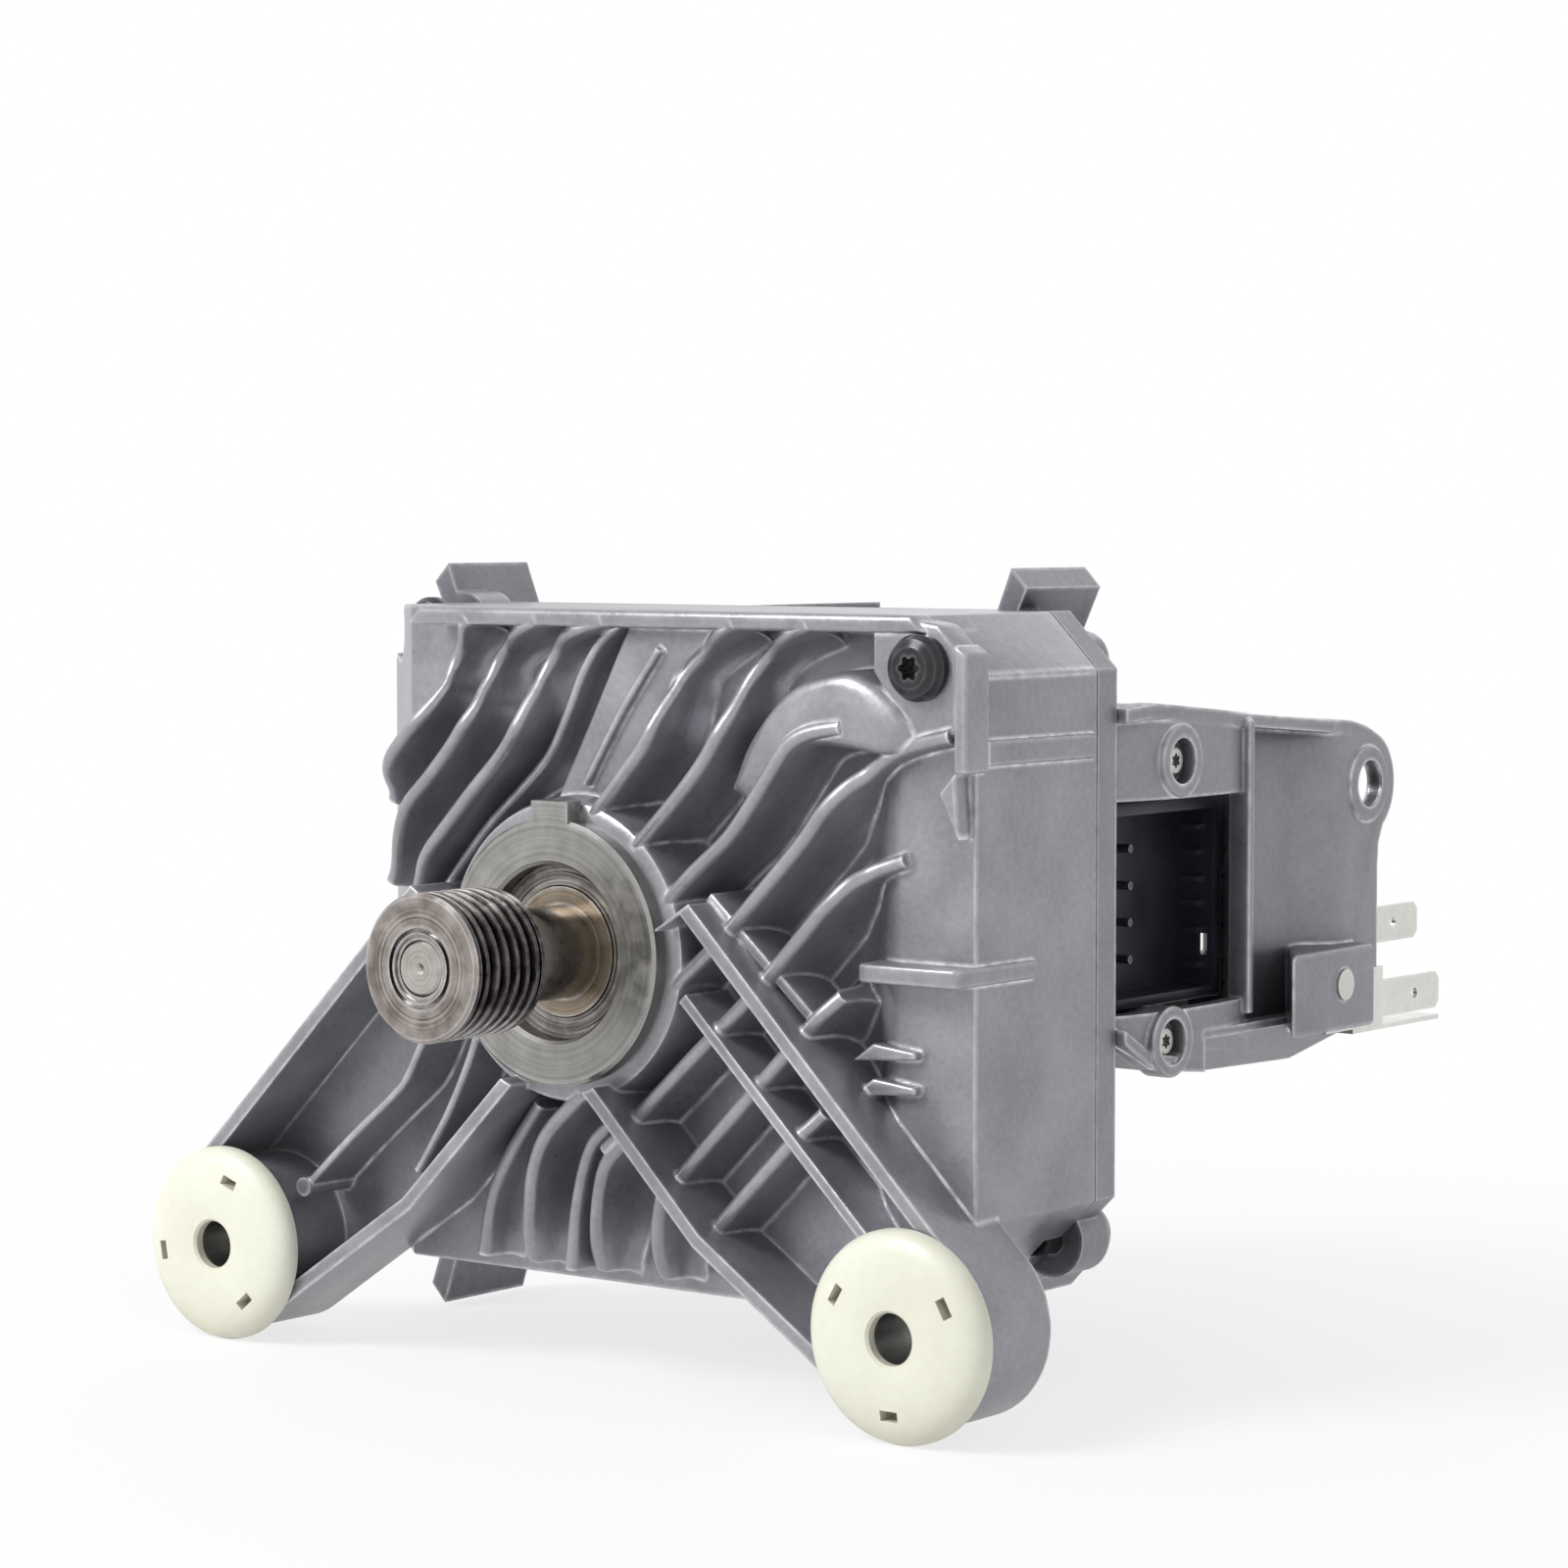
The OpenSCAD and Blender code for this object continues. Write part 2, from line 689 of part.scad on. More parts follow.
module shield_screws() {
    color([0.14, 0.14, 0.15]) {
        at(screw_right) on_shaft(plate_y - screw_head_t)
            button_screw(screw_head_r, screw_head_t, screw_shank_r, lug_back - 4 - plate_y);
        at(screw_left) on_shaft(lug_y - screw_head_t)
            button_screw(screw_head_r, screw_head_t, screw_shank_r, lug_back - 4 - lug_y);
        for (p = screw_low)
            at(p) translate([0, lug_back + screw_head_t, 0]) rotate([90, 0, 0])
                button_screw(screw_head_r, screw_head_t, screw_shank_r, lug_back - lug_y - lug_skin - 1);
    }
}

// Plan of the terminal bracket: a bowed band, a trough and a flat plate
module bracket_plan(t) {
    x = bracket_x - t;
    y0 = bracket_y0;
    end = ear_hole_y + 20;
    polygon([
        [x - 3, y0], [x - 1.2, y0 + 7], [x, y0 + 16], [x, y0 + 28], [x - 1.5, y0 + 38],
        [x - trough, y0 + 45], [x - trough, y0 + 58], [x, y0 + 65], [x, end],
        [x - 14, end], [x - 14, y0]
    ]);
}

// Side view of the terminal bracket in Y and Z
module bracket_side() {
    e = bracket_end_y;
    difference() {
        union() {
            polygon([
                [bracket_y0, 39.8], [window_y[1], 37], [e - 7, 33], [e, ear_hole_z - 7],
                [e, -16.5], [e - 17, -22.5], [78.5, -21.5], [73, -19.5], [57, -19.5],
                [bracket_y0, -14]
            ]);
            translate([ear_hole_y, ear_hole_z]) circle(r = ear_hole_r + 5, $fn = 48);
        }
        translate([window_y[0] - 4, window_z[0]])
            square([window_y[1] - window_y[0] + 4, window_z[1] - window_z[0]]);
        translate([ear_hole_y, ear_hole_z]) circle(r = ear_hole_r, $fn = 48);
    }
}

module terminal_bracket() {
    foot_x = barrel_half + 1 + fit;
    color([0.62, 0.62, 0.66])
    difference() {
        union() {
            // bowed wall
            intersection() {
                difference() {
                    plan(-30, 45) bracket_plan(0);
                    plan(-31, 46) bracket_plan(bracket_t);
                }
                side(bracket_x - 12, bracket_x + 1) bracket_side();
            }
            // top and bottom lips
            intersection() {
                plan(-30, 45) bracket_plan(0);
                difference() {
                    side(bracket_x - 9, bracket_x + 1) bracket_side();
                    side(bracket_x - 10, bracket_x + 2)
                        polygon([
                            [0, 37.5], [window_y[1], 34.5], [bracket_end_y - 9, 30.7],
                            [bracket_end_y - 9, 60],
                            [200, 60], [200, -17], [bracket_end_y, -14], [bracket_end_y - 17.5, -20.2],
                            [79, -19.3], [73.5, -17.3], [0, -17.3]
                        ]);
                }
            }
            // feet on the rear housing
            for (p = [top_boss, low_boss])
                translate([foot_x, p[0], p[1]])
                    rotate([0, 90, 0]) cylinder(r = 5, h = bracket_x - foot_x - 1.2, $fn = 48);
            // raised pad of the earth terminals
            translate([bracket_x - rivet_len, latch_y[0], latch_z[0]])
                cube([rivet_len + pad_t, latch_y[1] - latch_y[0] - 8, latch_z[1] - latch_z[0]]);
        }
        for (p = [top_boss, low_boss])
            translate([foot_x - cut, p[0], p[1]]) {
                rotate([0, 90, 0]) cylinder(r = 1.9, h = 40, $fn = 32);
                translate([bracket_x - foot_x - 2.4, 0, 0])
                    rotate([0, 90, 0]) cylinder(r = 3.6, h = 20, $fn = 32);
            }
        translate([bracket_x - rivet_len + 1, rivet_at[0], rivet_at[1]])
            rotate([0, 90, 0]) cylinder(r = rivet_r + fit, h = 40, $fn = 32);
    }
}

module bracket_screws() {
    color([0.55, 0.55, 0.56])
    for (p = [top_boss, low_boss])
        translate([bracket_x - 1.1, p[0], p[1]]) rotate([0, -90, 0])
            button_screw(3.2, 1.8, 1.7, bracket_x - 2.9 - barrel_half + wall - 0.5);
}

module connector_block() {
    x0 = block_x;
    x1 = bracket_x - bracket_t - 3.2;
    color([0.07, 0.08, 0.11])
    difference() {
        translate([x0, window_y[0] - 1, window_z[0] + 0.1])
            cube([x1 - x0, window_y[1] - window_y[0] + 0.7, window_z[1] - window_z[0] - 0.4]);
        translate([x0 + 5, window_y[0] + 1.2, window_z[0] + 1.8])
            cube([x1, window_y[1] - window_y[0] - 4, window_z[1] - window_z[0] - 4.2]);
        for (z = pin_z)
            translate([x0 - cut, pin_y, z]) rotate([0, 90, 0]) cylinder(r = pin_r + fit, h = 10, $fn = 24);
    }
}

module connector_pins() {
    color([0.78, 0.76, 0.70])
    for (z = pin_z)
        translate([block_x, pin_y, z]) rotate([0, 90, 0]) cylinder(r = pin_r, h = 9, $fn = 24);
}

// Flat blade in Y and Z with a locking hole, its root at y = 0
module blade_outline(length) {
    c = 1.2;
    h = blade_w / 2;
    difference() {
        polygon([[0, -h], [length - c, -h], [length, -h + c], [length, h - c], [length - c, h], [0, h]]);
        translate([length - 8.5, 0]) circle(r = 0.9, $fn = 24);
    }
}

module upper_blade() {
    x = bracket_x - bracket_t - blade_t - fit;
    color([0.80, 0.80, 0.78])
    side(x, x + blade_t)
        translate([blade_root, -1]) blade_outline(bracket_end_y + blade_out - blade_root);
}

module earth_tab() {
    x = bracket_x + pad_t;
    root = rivet_at[0] - 5;
    tip = bracket_end_y + tab_out;
    color([0.78, 0.78, 0.76])
    difference() {
        union() {
            side(x, x + blade_t) {
                translate([root, -12.6]) blade_outline(tip - root);
                translate([root, fold_z]) square([19, 10]);
            }
            // second blade, folded inwards along the lower edge
            translate([bracket_x + 0.2, root + 9, fold_z - blade_t])
                cube([pad_t - 0.2 + blade_t, tip - root - 16, blade_t]);
            translate([x + blade_t - blade_w, bracket_end_y + 1, fold_z - blade_t])
                cube([blade_w, tip - bracket_end_y - 1, blade_t]);
        }
        translate([x - 1, rivet_at[0], rivet_at[1]])
            rotate([0, 90, 0]) cylinder(r = rivet_r + fit, h = 5, $fn = 32);
    }
}

module earth_rivet() {
    head_x = bracket_x + pad_t + blade_t;
    color([0.72, 0.72, 0.72])
    translate([0, rivet_at[0], rivet_at[1]]) {
        translate([bracket_x - rivet_len + 1.2, 0, 0]) rotate([0, 90, 0])
            cylinder(r = rivet_r, h = head_x - bracket_x + rivet_len - 1, $fn = 32);
        translate([head_x, 0, 0]) rotate([0, 90, 0]) cylinder(r = 2.6, h = 1, $fn = 32);
    }
}

// Flanged bush on side s, with three slots that start at angle a
module bush(s, a) {
    color([0.92, 0.91, 0.83])
    translate([s * bush_x, 0, -bush_z])
    difference() {
        turned([
            [bush_bore_r, bush_front_y], [bush_flange_r - 2.2, bush_front_y],
            [bush_flange_r - 0.7, bush_front_y + 0.6], [bush_flange_r, bush_front_y + 1.9],
            [bush_flange_r, boss_y], [bush_barrel_r, boss_y], [bush_barrel_r, boss_back_y],
            [bush_tube_r, boss_back_y], [bush_tube_r, bush_front_y + bush_lip],
            [bush_bore_r, bush_front_y + bush_lip]
        ]);
        for (k = [0:2])
            rotate([0, -a - 120 * k, 0])
                translate([bush_barrel_r - 0.8, bush_front_y - cut, -1.6])
                    cube([1.6, bush_flange_t - 0.5, 3.2]);
    }
}

// Steel tube inside a bush, which takes the mounting bolt
module bush_sleeve(s) {
    color([0.62, 0.60, 0.55])
    translate([s * bush_x, 0, -bush_z])
        ring(bush_tube_r - fit, bush_bore_r, bush_front_y + bush_lip, boss_back_y);
}

module left_bush() { bush(-1, 70); }
module left_bush_sleeve() { bush_sleeve(-1); }
module right_bush() { bush(1, 30); }
module right_bush_sleeve() { bush_sleeve(1); }

module shaft() {
    r = front_seat_r - fit / 2;
    neck = -pulley_back;
    bearing_end = front_bearing_y + front_bearing_w;
    color([0.52, 0.51, 0.50])
    turned([
        [0, -pulley_front + 0.9], [0.9, -pulley_front], [nose_r - 0.5, -pulley_front],
        [nose_r, -pulley_front + 0.5], [nose_r, neck], [r + 1.1, neck], [r + 1.1, neck + 1.4],
        [r - 0.7, neck + 1.4], [r - 0.7, neck + 2.2], [r + 0.7, neck + 2.2], [r + 0.7, neck + 3.3],
        [r, neck + 3.3], [r, bearing_end], [rotor_bore + 1, bearing_end], [rotor_bore + 1, bearing_end + 4],
        [rotor_bore - fit, bearing_end + 4], [rotor_bore - fit, stack_end + 2],
        [rear_seat_r + 2, stack_end + 2], [rear_seat_r + 2, rear_bearing_y],
        [rear_seat_r - fit / 2, rear_bearing_y], [rear_seat_r - fit / 2, rear_bearing_back],
        [0, rear_bearing_back]
    ]);
}

// Poly-V pulley with a ring groove in its front face
module pulley() {
    y0 = -pulley_front;
    first = y0 + 2.8;
    count = floor((pulley_front - pulley_back - 2.4) / groove_pitch);
    ridges = [for (k = [0:count - 1]) each [
        [pulley_r, first - 0.35 + k * groove_pitch], [pulley_r, first + 0.35 + k * groove_pitch],
        [pulley_r - groove_depth, first + groove_pitch / 2 - 0.25 + k * groove_pitch],
        [pulley_r - groove_depth, first + groove_pitch / 2 + 0.25 + k * groove_pitch]
    ]];
    color([0.66, 0.65, 0.63])
    turned(concat(
        [[nose_r + fit, y0 + 0.3], [nose_r + 0.7, y0 + 0.3], [nose_r + 0.7, y0],
         [nose_r + 1.2, y0], [nose_r + 1.2, y0 + 0.8], [nose_r + 1.9, y0 + 0.8], [nose_r + 1.9, y0],
         [pulley_r - 0.6, y0], [pulley_r, y0 + 0.6], [pulley_r, y0 + 1.4],
         [pulley_r - groove_depth, y0 + 1.6], [pulley_r - groove_depth, y0 + 1.9]],
        ridges,
        [[pulley_r - 0.3, -pulley_back - 0.9], [pulley_r - 0.3, -pulley_back], [nose_r + fit, -pulley_back]]
    ));
}

module rotor_slots() {
    for (k = [0:poles - 1])
        rotate([0, 360 / poles * k, 0]) translate([-magnet_w / 2, 0, magnet_seat]) children();
}

module rotor_core() {
    color([0.45, 0.46, 0.48])
    difference() {
        ring(rotor_r, rotor_bore, stack_y, stack_end);
        rotor_slots() translate([-fit, stack_y - 1, -fit])
            cube([magnet_w + 2 * fit, stack_len + 2, magnet_t + 2 * fit]);
    }
}

module rotor_magnets() {
    color([0.30, 0.30, 0.33])
    rotor_slots() translate([0, stack_y + fit, 0]) cube([magnet_w, stack_len - 2 * fit, magnet_t]);
}

module rotor_end_plates() {
    color([0.70, 0.70, 0.72]) {
        ring(rotor_r - 1, rotor_bore, stack_y - 1.5, stack_y);
        ring(rotor_r - 1, rotor_bore, stack_end, stack_end + 1.5);
    }
}

module sensor_magnet() {
    color([0.20, 0.20, 0.22])
    ring(13, rear_seat_r + 2 + fit, stack_end + 4, stack_end + 10);
}

module shaft_circlip() {
    color([0.35, 0.35, 0.37])
    ring(rear_seat_r + 4.5, rear_seat_r + 2 + fit, stack_end + 10, stack_end + 11);
}

// Bearing parts in profile: y is the bearing's front face, w its width
module outer_ring(r, pitch, y, w) {
    rotate([-90, 0, 0]) rotate_extrude($fn = 96)
        difference() {
            translate([pitch + 2, y]) square([r - pitch - 2, w]);
            translate([pitch, y + w / 2]) circle(r = ball_r + 0.05, $fn = 48);
        }
}

module inner_ring(r, pitch, y, w) {
    rotate([-90, 0, 0]) rotate_extrude($fn = 96)
        difference() {
            translate([r, y]) square([pitch - 2 - r, w]);
            translate([pitch, y + w / 2]) circle(r = ball_r + 0.05, $fn = 48);
        }
}

module ball_places(n, pitch, y) {
    for (k = [0:n - 1])
        rotate([0, 360 / n * k, 0]) translate([pitch, y, 0]) children();
}

module cage(n, pitch, y, w) {
    difference() {
        ring(pitch + 1.2, pitch - 1.2, y + w / 2 - ball_r - 1, y + w / 2 + 1.2);
        ball_places(n, pitch, y + w / 2)
            rotate([0, 90, 0]) cylinder(r = ball_r + 0.08, h = 6, center = true, $fn = 48);
    }
}

module seals(pitch, y, w) {
    ring(pitch + 2 - fit, pitch - 1.8, y + 0.2, y + 0.7);
    ring(pitch + 2 - fit, pitch - 1.8, y + w - 0.7, y + w - 0.2);
}

module front_outer_ring() {
    color([0.66, 0.66, 0.68])
    outer_ring(front_bearing_r, front_pitch, front_bearing_y, front_bearing_w);
}

module front_inner_ring() {
    color([0.70, 0.69, 0.66])
    inner_ring(front_seat_r, front_pitch, front_bearing_y, front_bearing_w);
}

module front_cage() {
    color([0.55, 0.50, 0.38])
    cage(front_ball_count, front_pitch, front_bearing_y, front_bearing_w);
}

module front_balls() {
    color([0.80, 0.80, 0.82])
    ball_places(front_ball_count, front_pitch, front_bearing_y + front_bearing_w / 2)
        sphere(r = ball_r, $fn = 48);
}

module front_seals() {
    color([0.25, 0.21, 0.17])
    seals(front_pitch, front_bearing_y, front_bearing_w);
}

module rear_outer_ring() {
    color([0.66, 0.66, 0.68])
    outer_ring(rear_bearing_r, rear_pitch, rear_bearing_y, rear_bearing_w);
}

module rear_inner_ring() {
    color([0.70, 0.69, 0.66])
    inner_ring(rear_seat_r, rear_pitch, rear_bearing_y, rear_bearing_w);
}

module rear_cage() {
    color([0.55, 0.50, 0.38])
    cage(rear_ball_count, rear_pitch, rear_bearing_y, rear_bearing_w);
}

module rear_balls() {
    color([0.80, 0.80, 0.82])
    ball_places(rear_ball_count, rear_pitch, rear_bearing_y + rear_bearing_w / 2)
        sphere(r = ball_r, $fn = 48);
}

module rear_seals() {
    color([0.25, 0.21, 0.17])
    seals(rear_pitch, rear_bearing_y, rear_bearing_w);
}

module front_retaining_ring() {
    y = front_bearing_y + front_bearing_w;
    color([0.35, 0.35, 0.37])
    difference() {
        ring(front_bearing_r + 0.7, front_bearing_r - 2, y + 0.05, y + 1.3);
        translate([-3, y - 1, -front_bearing_r - 2]) cube([6, 4, 8]);
    }
}

module wave_washer() {
    color([0.50, 0.50, 0.52])
    ring(rear_bearing_r - 0.3, rear_bearing_r - 3.4, rear_bearing_back, rear_y);
}

module tooth_places() {
    for (k = [0:teeth - 1]) rotate([0, 360 / teeth * k, 0]) children();
}

module stator_core() {
    half = 180 / teeth;
    a_in = half - asin(tooth_w / 2 / slot_in);
    a_out = half - asin(tooth_w / 2 / slot_out);
    color([0.40, 0.42, 0.46])
    slab(stack_y, stack_end)
    difference() {
        circle(r = stator_r, $fn = 96);
        circle(r = stator_bore, $fn = 96);
        for (k = [0:teeth - 1])
            rotate(360 / teeth * (k + 0.5)) {
                polygon([
                    slot_in * [cos(a_in), -sin(a_in)], slot_out * [cos(a_out), -sin(a_out)],
                    slot_out * [cos(a_out), sin(a_out)], slot_in * [cos(a_in), sin(a_in)]
                ]);
                translate([stator_bore - 1, -1.2]) square([slot_in - stator_bore + 2, 2.4]);
            }
    }
}

module insulator(y0, y1) {
    tooth_y0 = y0 < stack_y ? y0 + insulator_t : y0;
    tooth_y1 = y0 < stack_y ? y1 : y1 - insulator_t;
    ring(stator_r - 1.3, slot_out + 0.4, y0, y1);
    tooth_places()
        translate([slot_in, tooth_y0, -tooth_w / 2])
            cube([slot_out + 2 - slot_in, tooth_y1 - tooth_y0, tooth_w]);
}

module front_insulator() {
    color([0.85, 0.83, 0.75]) insulator(insulator_front, stack_y);
}

module rear_insulator() {
    color([0.85, 0.83, 0.75]) {
        insulator(stack_end, insulator_rear);
        for (a = post_angles)
            rotate([0, a, 0]) at([post_at, 0]) {
                disc(1.8, insulator_rear - 1, insulator_rear + board_gap);
                disc(1.1, insulator_rear, insulator_rear + board_gap + board_t + 0.6);
            }
    }
}

module stator_coils() {
    inner = tooth_w / 2 + 0.3;
    outer = slot_in * sin(180 / teeth) - 0.6;
    radial = slot_out - slot_in - 3.2;
    color([0.72, 0.40, 0.20])
    tooth_places()
        translate([slot_in + 1.6, 0, 0])
            difference() {
                translate([0, stack_y - coil_over, -outer])
                    cube([radial, stack_len + 2 * coil_over, 2 * outer]);
                translate([-cut, insulator_front + insulator_t - fit, -inner])
                    cube([radial + 2 * cut, stack_len + 2 * (insulator_h - insulator_t + fit), 2 * inner]);
            }
}

module winding_leads() {
    r = stator_r - 1.3;
    color([0.75, 0.22, 0.16])
    for (z = lead_z) let (x0 = sqrt(r * r - pow(z - lead_r, 2)) + 0.05)
        translate([x0, lead_y, z]) rotate([0, 90, 0])
            cylinder(r = lead_r, h = barrel_half + 1.15 - x0, $fn = 24);
}

module lead_grommet() {
    color([0.12, 0.12, 0.13])
    difference() {
        union() {
            translate([barrel_half - wall, lead_y - port_w / 2 + fit, fit])
                cube([wall + 0.9, port_w - 2 * fit, port_h - 2 * fit]);
            translate([barrel_half - wall - 1.1, lead_y - port_w / 2 - 1, -1])
                cube([1.1, port_w + 2, port_h + 2]);
        }
        for (z = lead_z)
            translate([barrel_half - wall - 2, lead_y, z]) rotate([0, 90, 0])
                cylinder(r = lead_r + fit, h = 10, $fn = 24);
    }
}

module sensor_board() {
    color([0.10, 0.35, 0.20])
    difference() {
        ring(stator_r - 1.4, 20, insulator_rear + board_gap, insulator_rear + board_gap + board_t);
        for (a = post_angles)
            rotate([0, a, 0]) at([post_at, 0]) disc(1.15, insulator_rear, insulator_rear + 8);
    }
}

module thermal_protector() {
    color([0.15, 0.15, 0.16])
    translate([-6, insulator_rear, slot_out + 0.6]) cube([12, board_gap - 0.2, 4]);
}

front_shield();
bearing_sleeve();
rear_housing();
rear_cap();
rear_cap_screws();
shield_screws();
terminal_bracket();
bracket_screws();
connector_block();
connector_pins();
upper_blade();
earth_tab();
earth_rivet();
left_bush();
left_bush_sleeve();
right_bush();
right_bush_sleeve();
shaft();
pulley();
rotor_core();
rotor_magnets();
rotor_end_plates();
sensor_magnet();
shaft_circlip();
front_outer_ring();
front_inner_ring();
front_cage();
front_balls();
front_seals();
front_retaining_ring();
rear_outer_ring();
rear_inner_ring();
rear_cage();
rear_balls();
rear_seals();
wave_washer();
stator_core();
front_insulator();
rear_insulator();
stator_coils();
winding_leads();
lead_grommet();
sensor_board();
thermal_protector();
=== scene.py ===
"""Dresses a washing machine drive motor: finishes, a cast front shield and a plain studio.

Lengths are in metres in the motor's own frame: the shaft lies along Y, the pulley
points to -Y and +Z is up. Sizes written in millimetres are turned to metres by MM.
"""

import logging
import math
from dataclasses import dataclass, field
from enum import Enum

import bmesh
import bpy
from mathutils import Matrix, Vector


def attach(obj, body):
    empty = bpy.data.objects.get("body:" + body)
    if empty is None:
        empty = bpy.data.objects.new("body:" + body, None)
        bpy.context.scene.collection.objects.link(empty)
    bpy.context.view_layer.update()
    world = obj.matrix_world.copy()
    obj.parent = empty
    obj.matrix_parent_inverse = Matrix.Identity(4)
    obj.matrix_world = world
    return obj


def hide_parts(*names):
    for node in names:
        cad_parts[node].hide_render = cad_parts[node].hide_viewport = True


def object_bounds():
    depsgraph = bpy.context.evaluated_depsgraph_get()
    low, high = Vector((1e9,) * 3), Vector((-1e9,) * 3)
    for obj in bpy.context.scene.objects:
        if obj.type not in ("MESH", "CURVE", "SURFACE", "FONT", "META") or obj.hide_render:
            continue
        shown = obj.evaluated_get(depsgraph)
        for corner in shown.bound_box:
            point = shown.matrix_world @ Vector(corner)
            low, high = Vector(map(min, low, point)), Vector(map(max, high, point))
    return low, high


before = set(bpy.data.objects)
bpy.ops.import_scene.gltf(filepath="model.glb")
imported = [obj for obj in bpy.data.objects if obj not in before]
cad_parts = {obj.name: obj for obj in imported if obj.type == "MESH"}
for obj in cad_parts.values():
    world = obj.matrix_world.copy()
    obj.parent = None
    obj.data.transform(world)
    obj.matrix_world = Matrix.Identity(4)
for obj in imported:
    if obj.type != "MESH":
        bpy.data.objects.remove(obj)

CAD_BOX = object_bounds()
MM = 0.001
SEAM = 0.01 * MM
LOG = logging.getLogger("motor")
Flat = tuple[float, float]
BUSH_PLACE: Flat = (70.8, -53.5)


class Side(Enum):
    """Which side of the shaft a piece is on, seen from the pulley."""

    LEFT = -1
    RIGHT = 1


class Pattern(Enum):
    """How a surface was made, which sets the pattern of its finish."""

    CAST = "cast"
    TURNED = "turned"
    STACKED = "stacked"
    WOUND = "wound"
    MOULDED = "moulded"
    PLATED = "plated"


@dataclass(frozen=True)
class Finish:
    """The look of one surface.

    Colours are linear RGB: the pattern mixes colour and shade, two tones of the surface
    itself. bright is bare metal on worn edges together with a painted highlight on edges and
    crests, and soot is painted shade in the recesses. edge and dirt are the shares of these
    two. grain is the size of the surface's grain and depth the height of its bump, both in
    metres.
    """

    name: str
    colour: tuple[float, float, float]
    shade: tuple[float, float, float]
    roughness: float
    metallic: float
    pattern: Pattern
    grain: float = 0.0012
    depth: float = 0.00003
    # Share of bare metal with a painted highlight on edges and crests.
    edge: float = 0.0
    # Share of the painted shade in the recesses.
    dirt: float = 0.0
    # Colour of that bare metal and painted highlight.
    bright: tuple[float, float, float] = (0.86, 0.86, 0.88)
    # Colour of the painted shade in the recesses.
    recess_shade_colour: tuple[float, float, float] = (0.02, 0.02, 0.028)


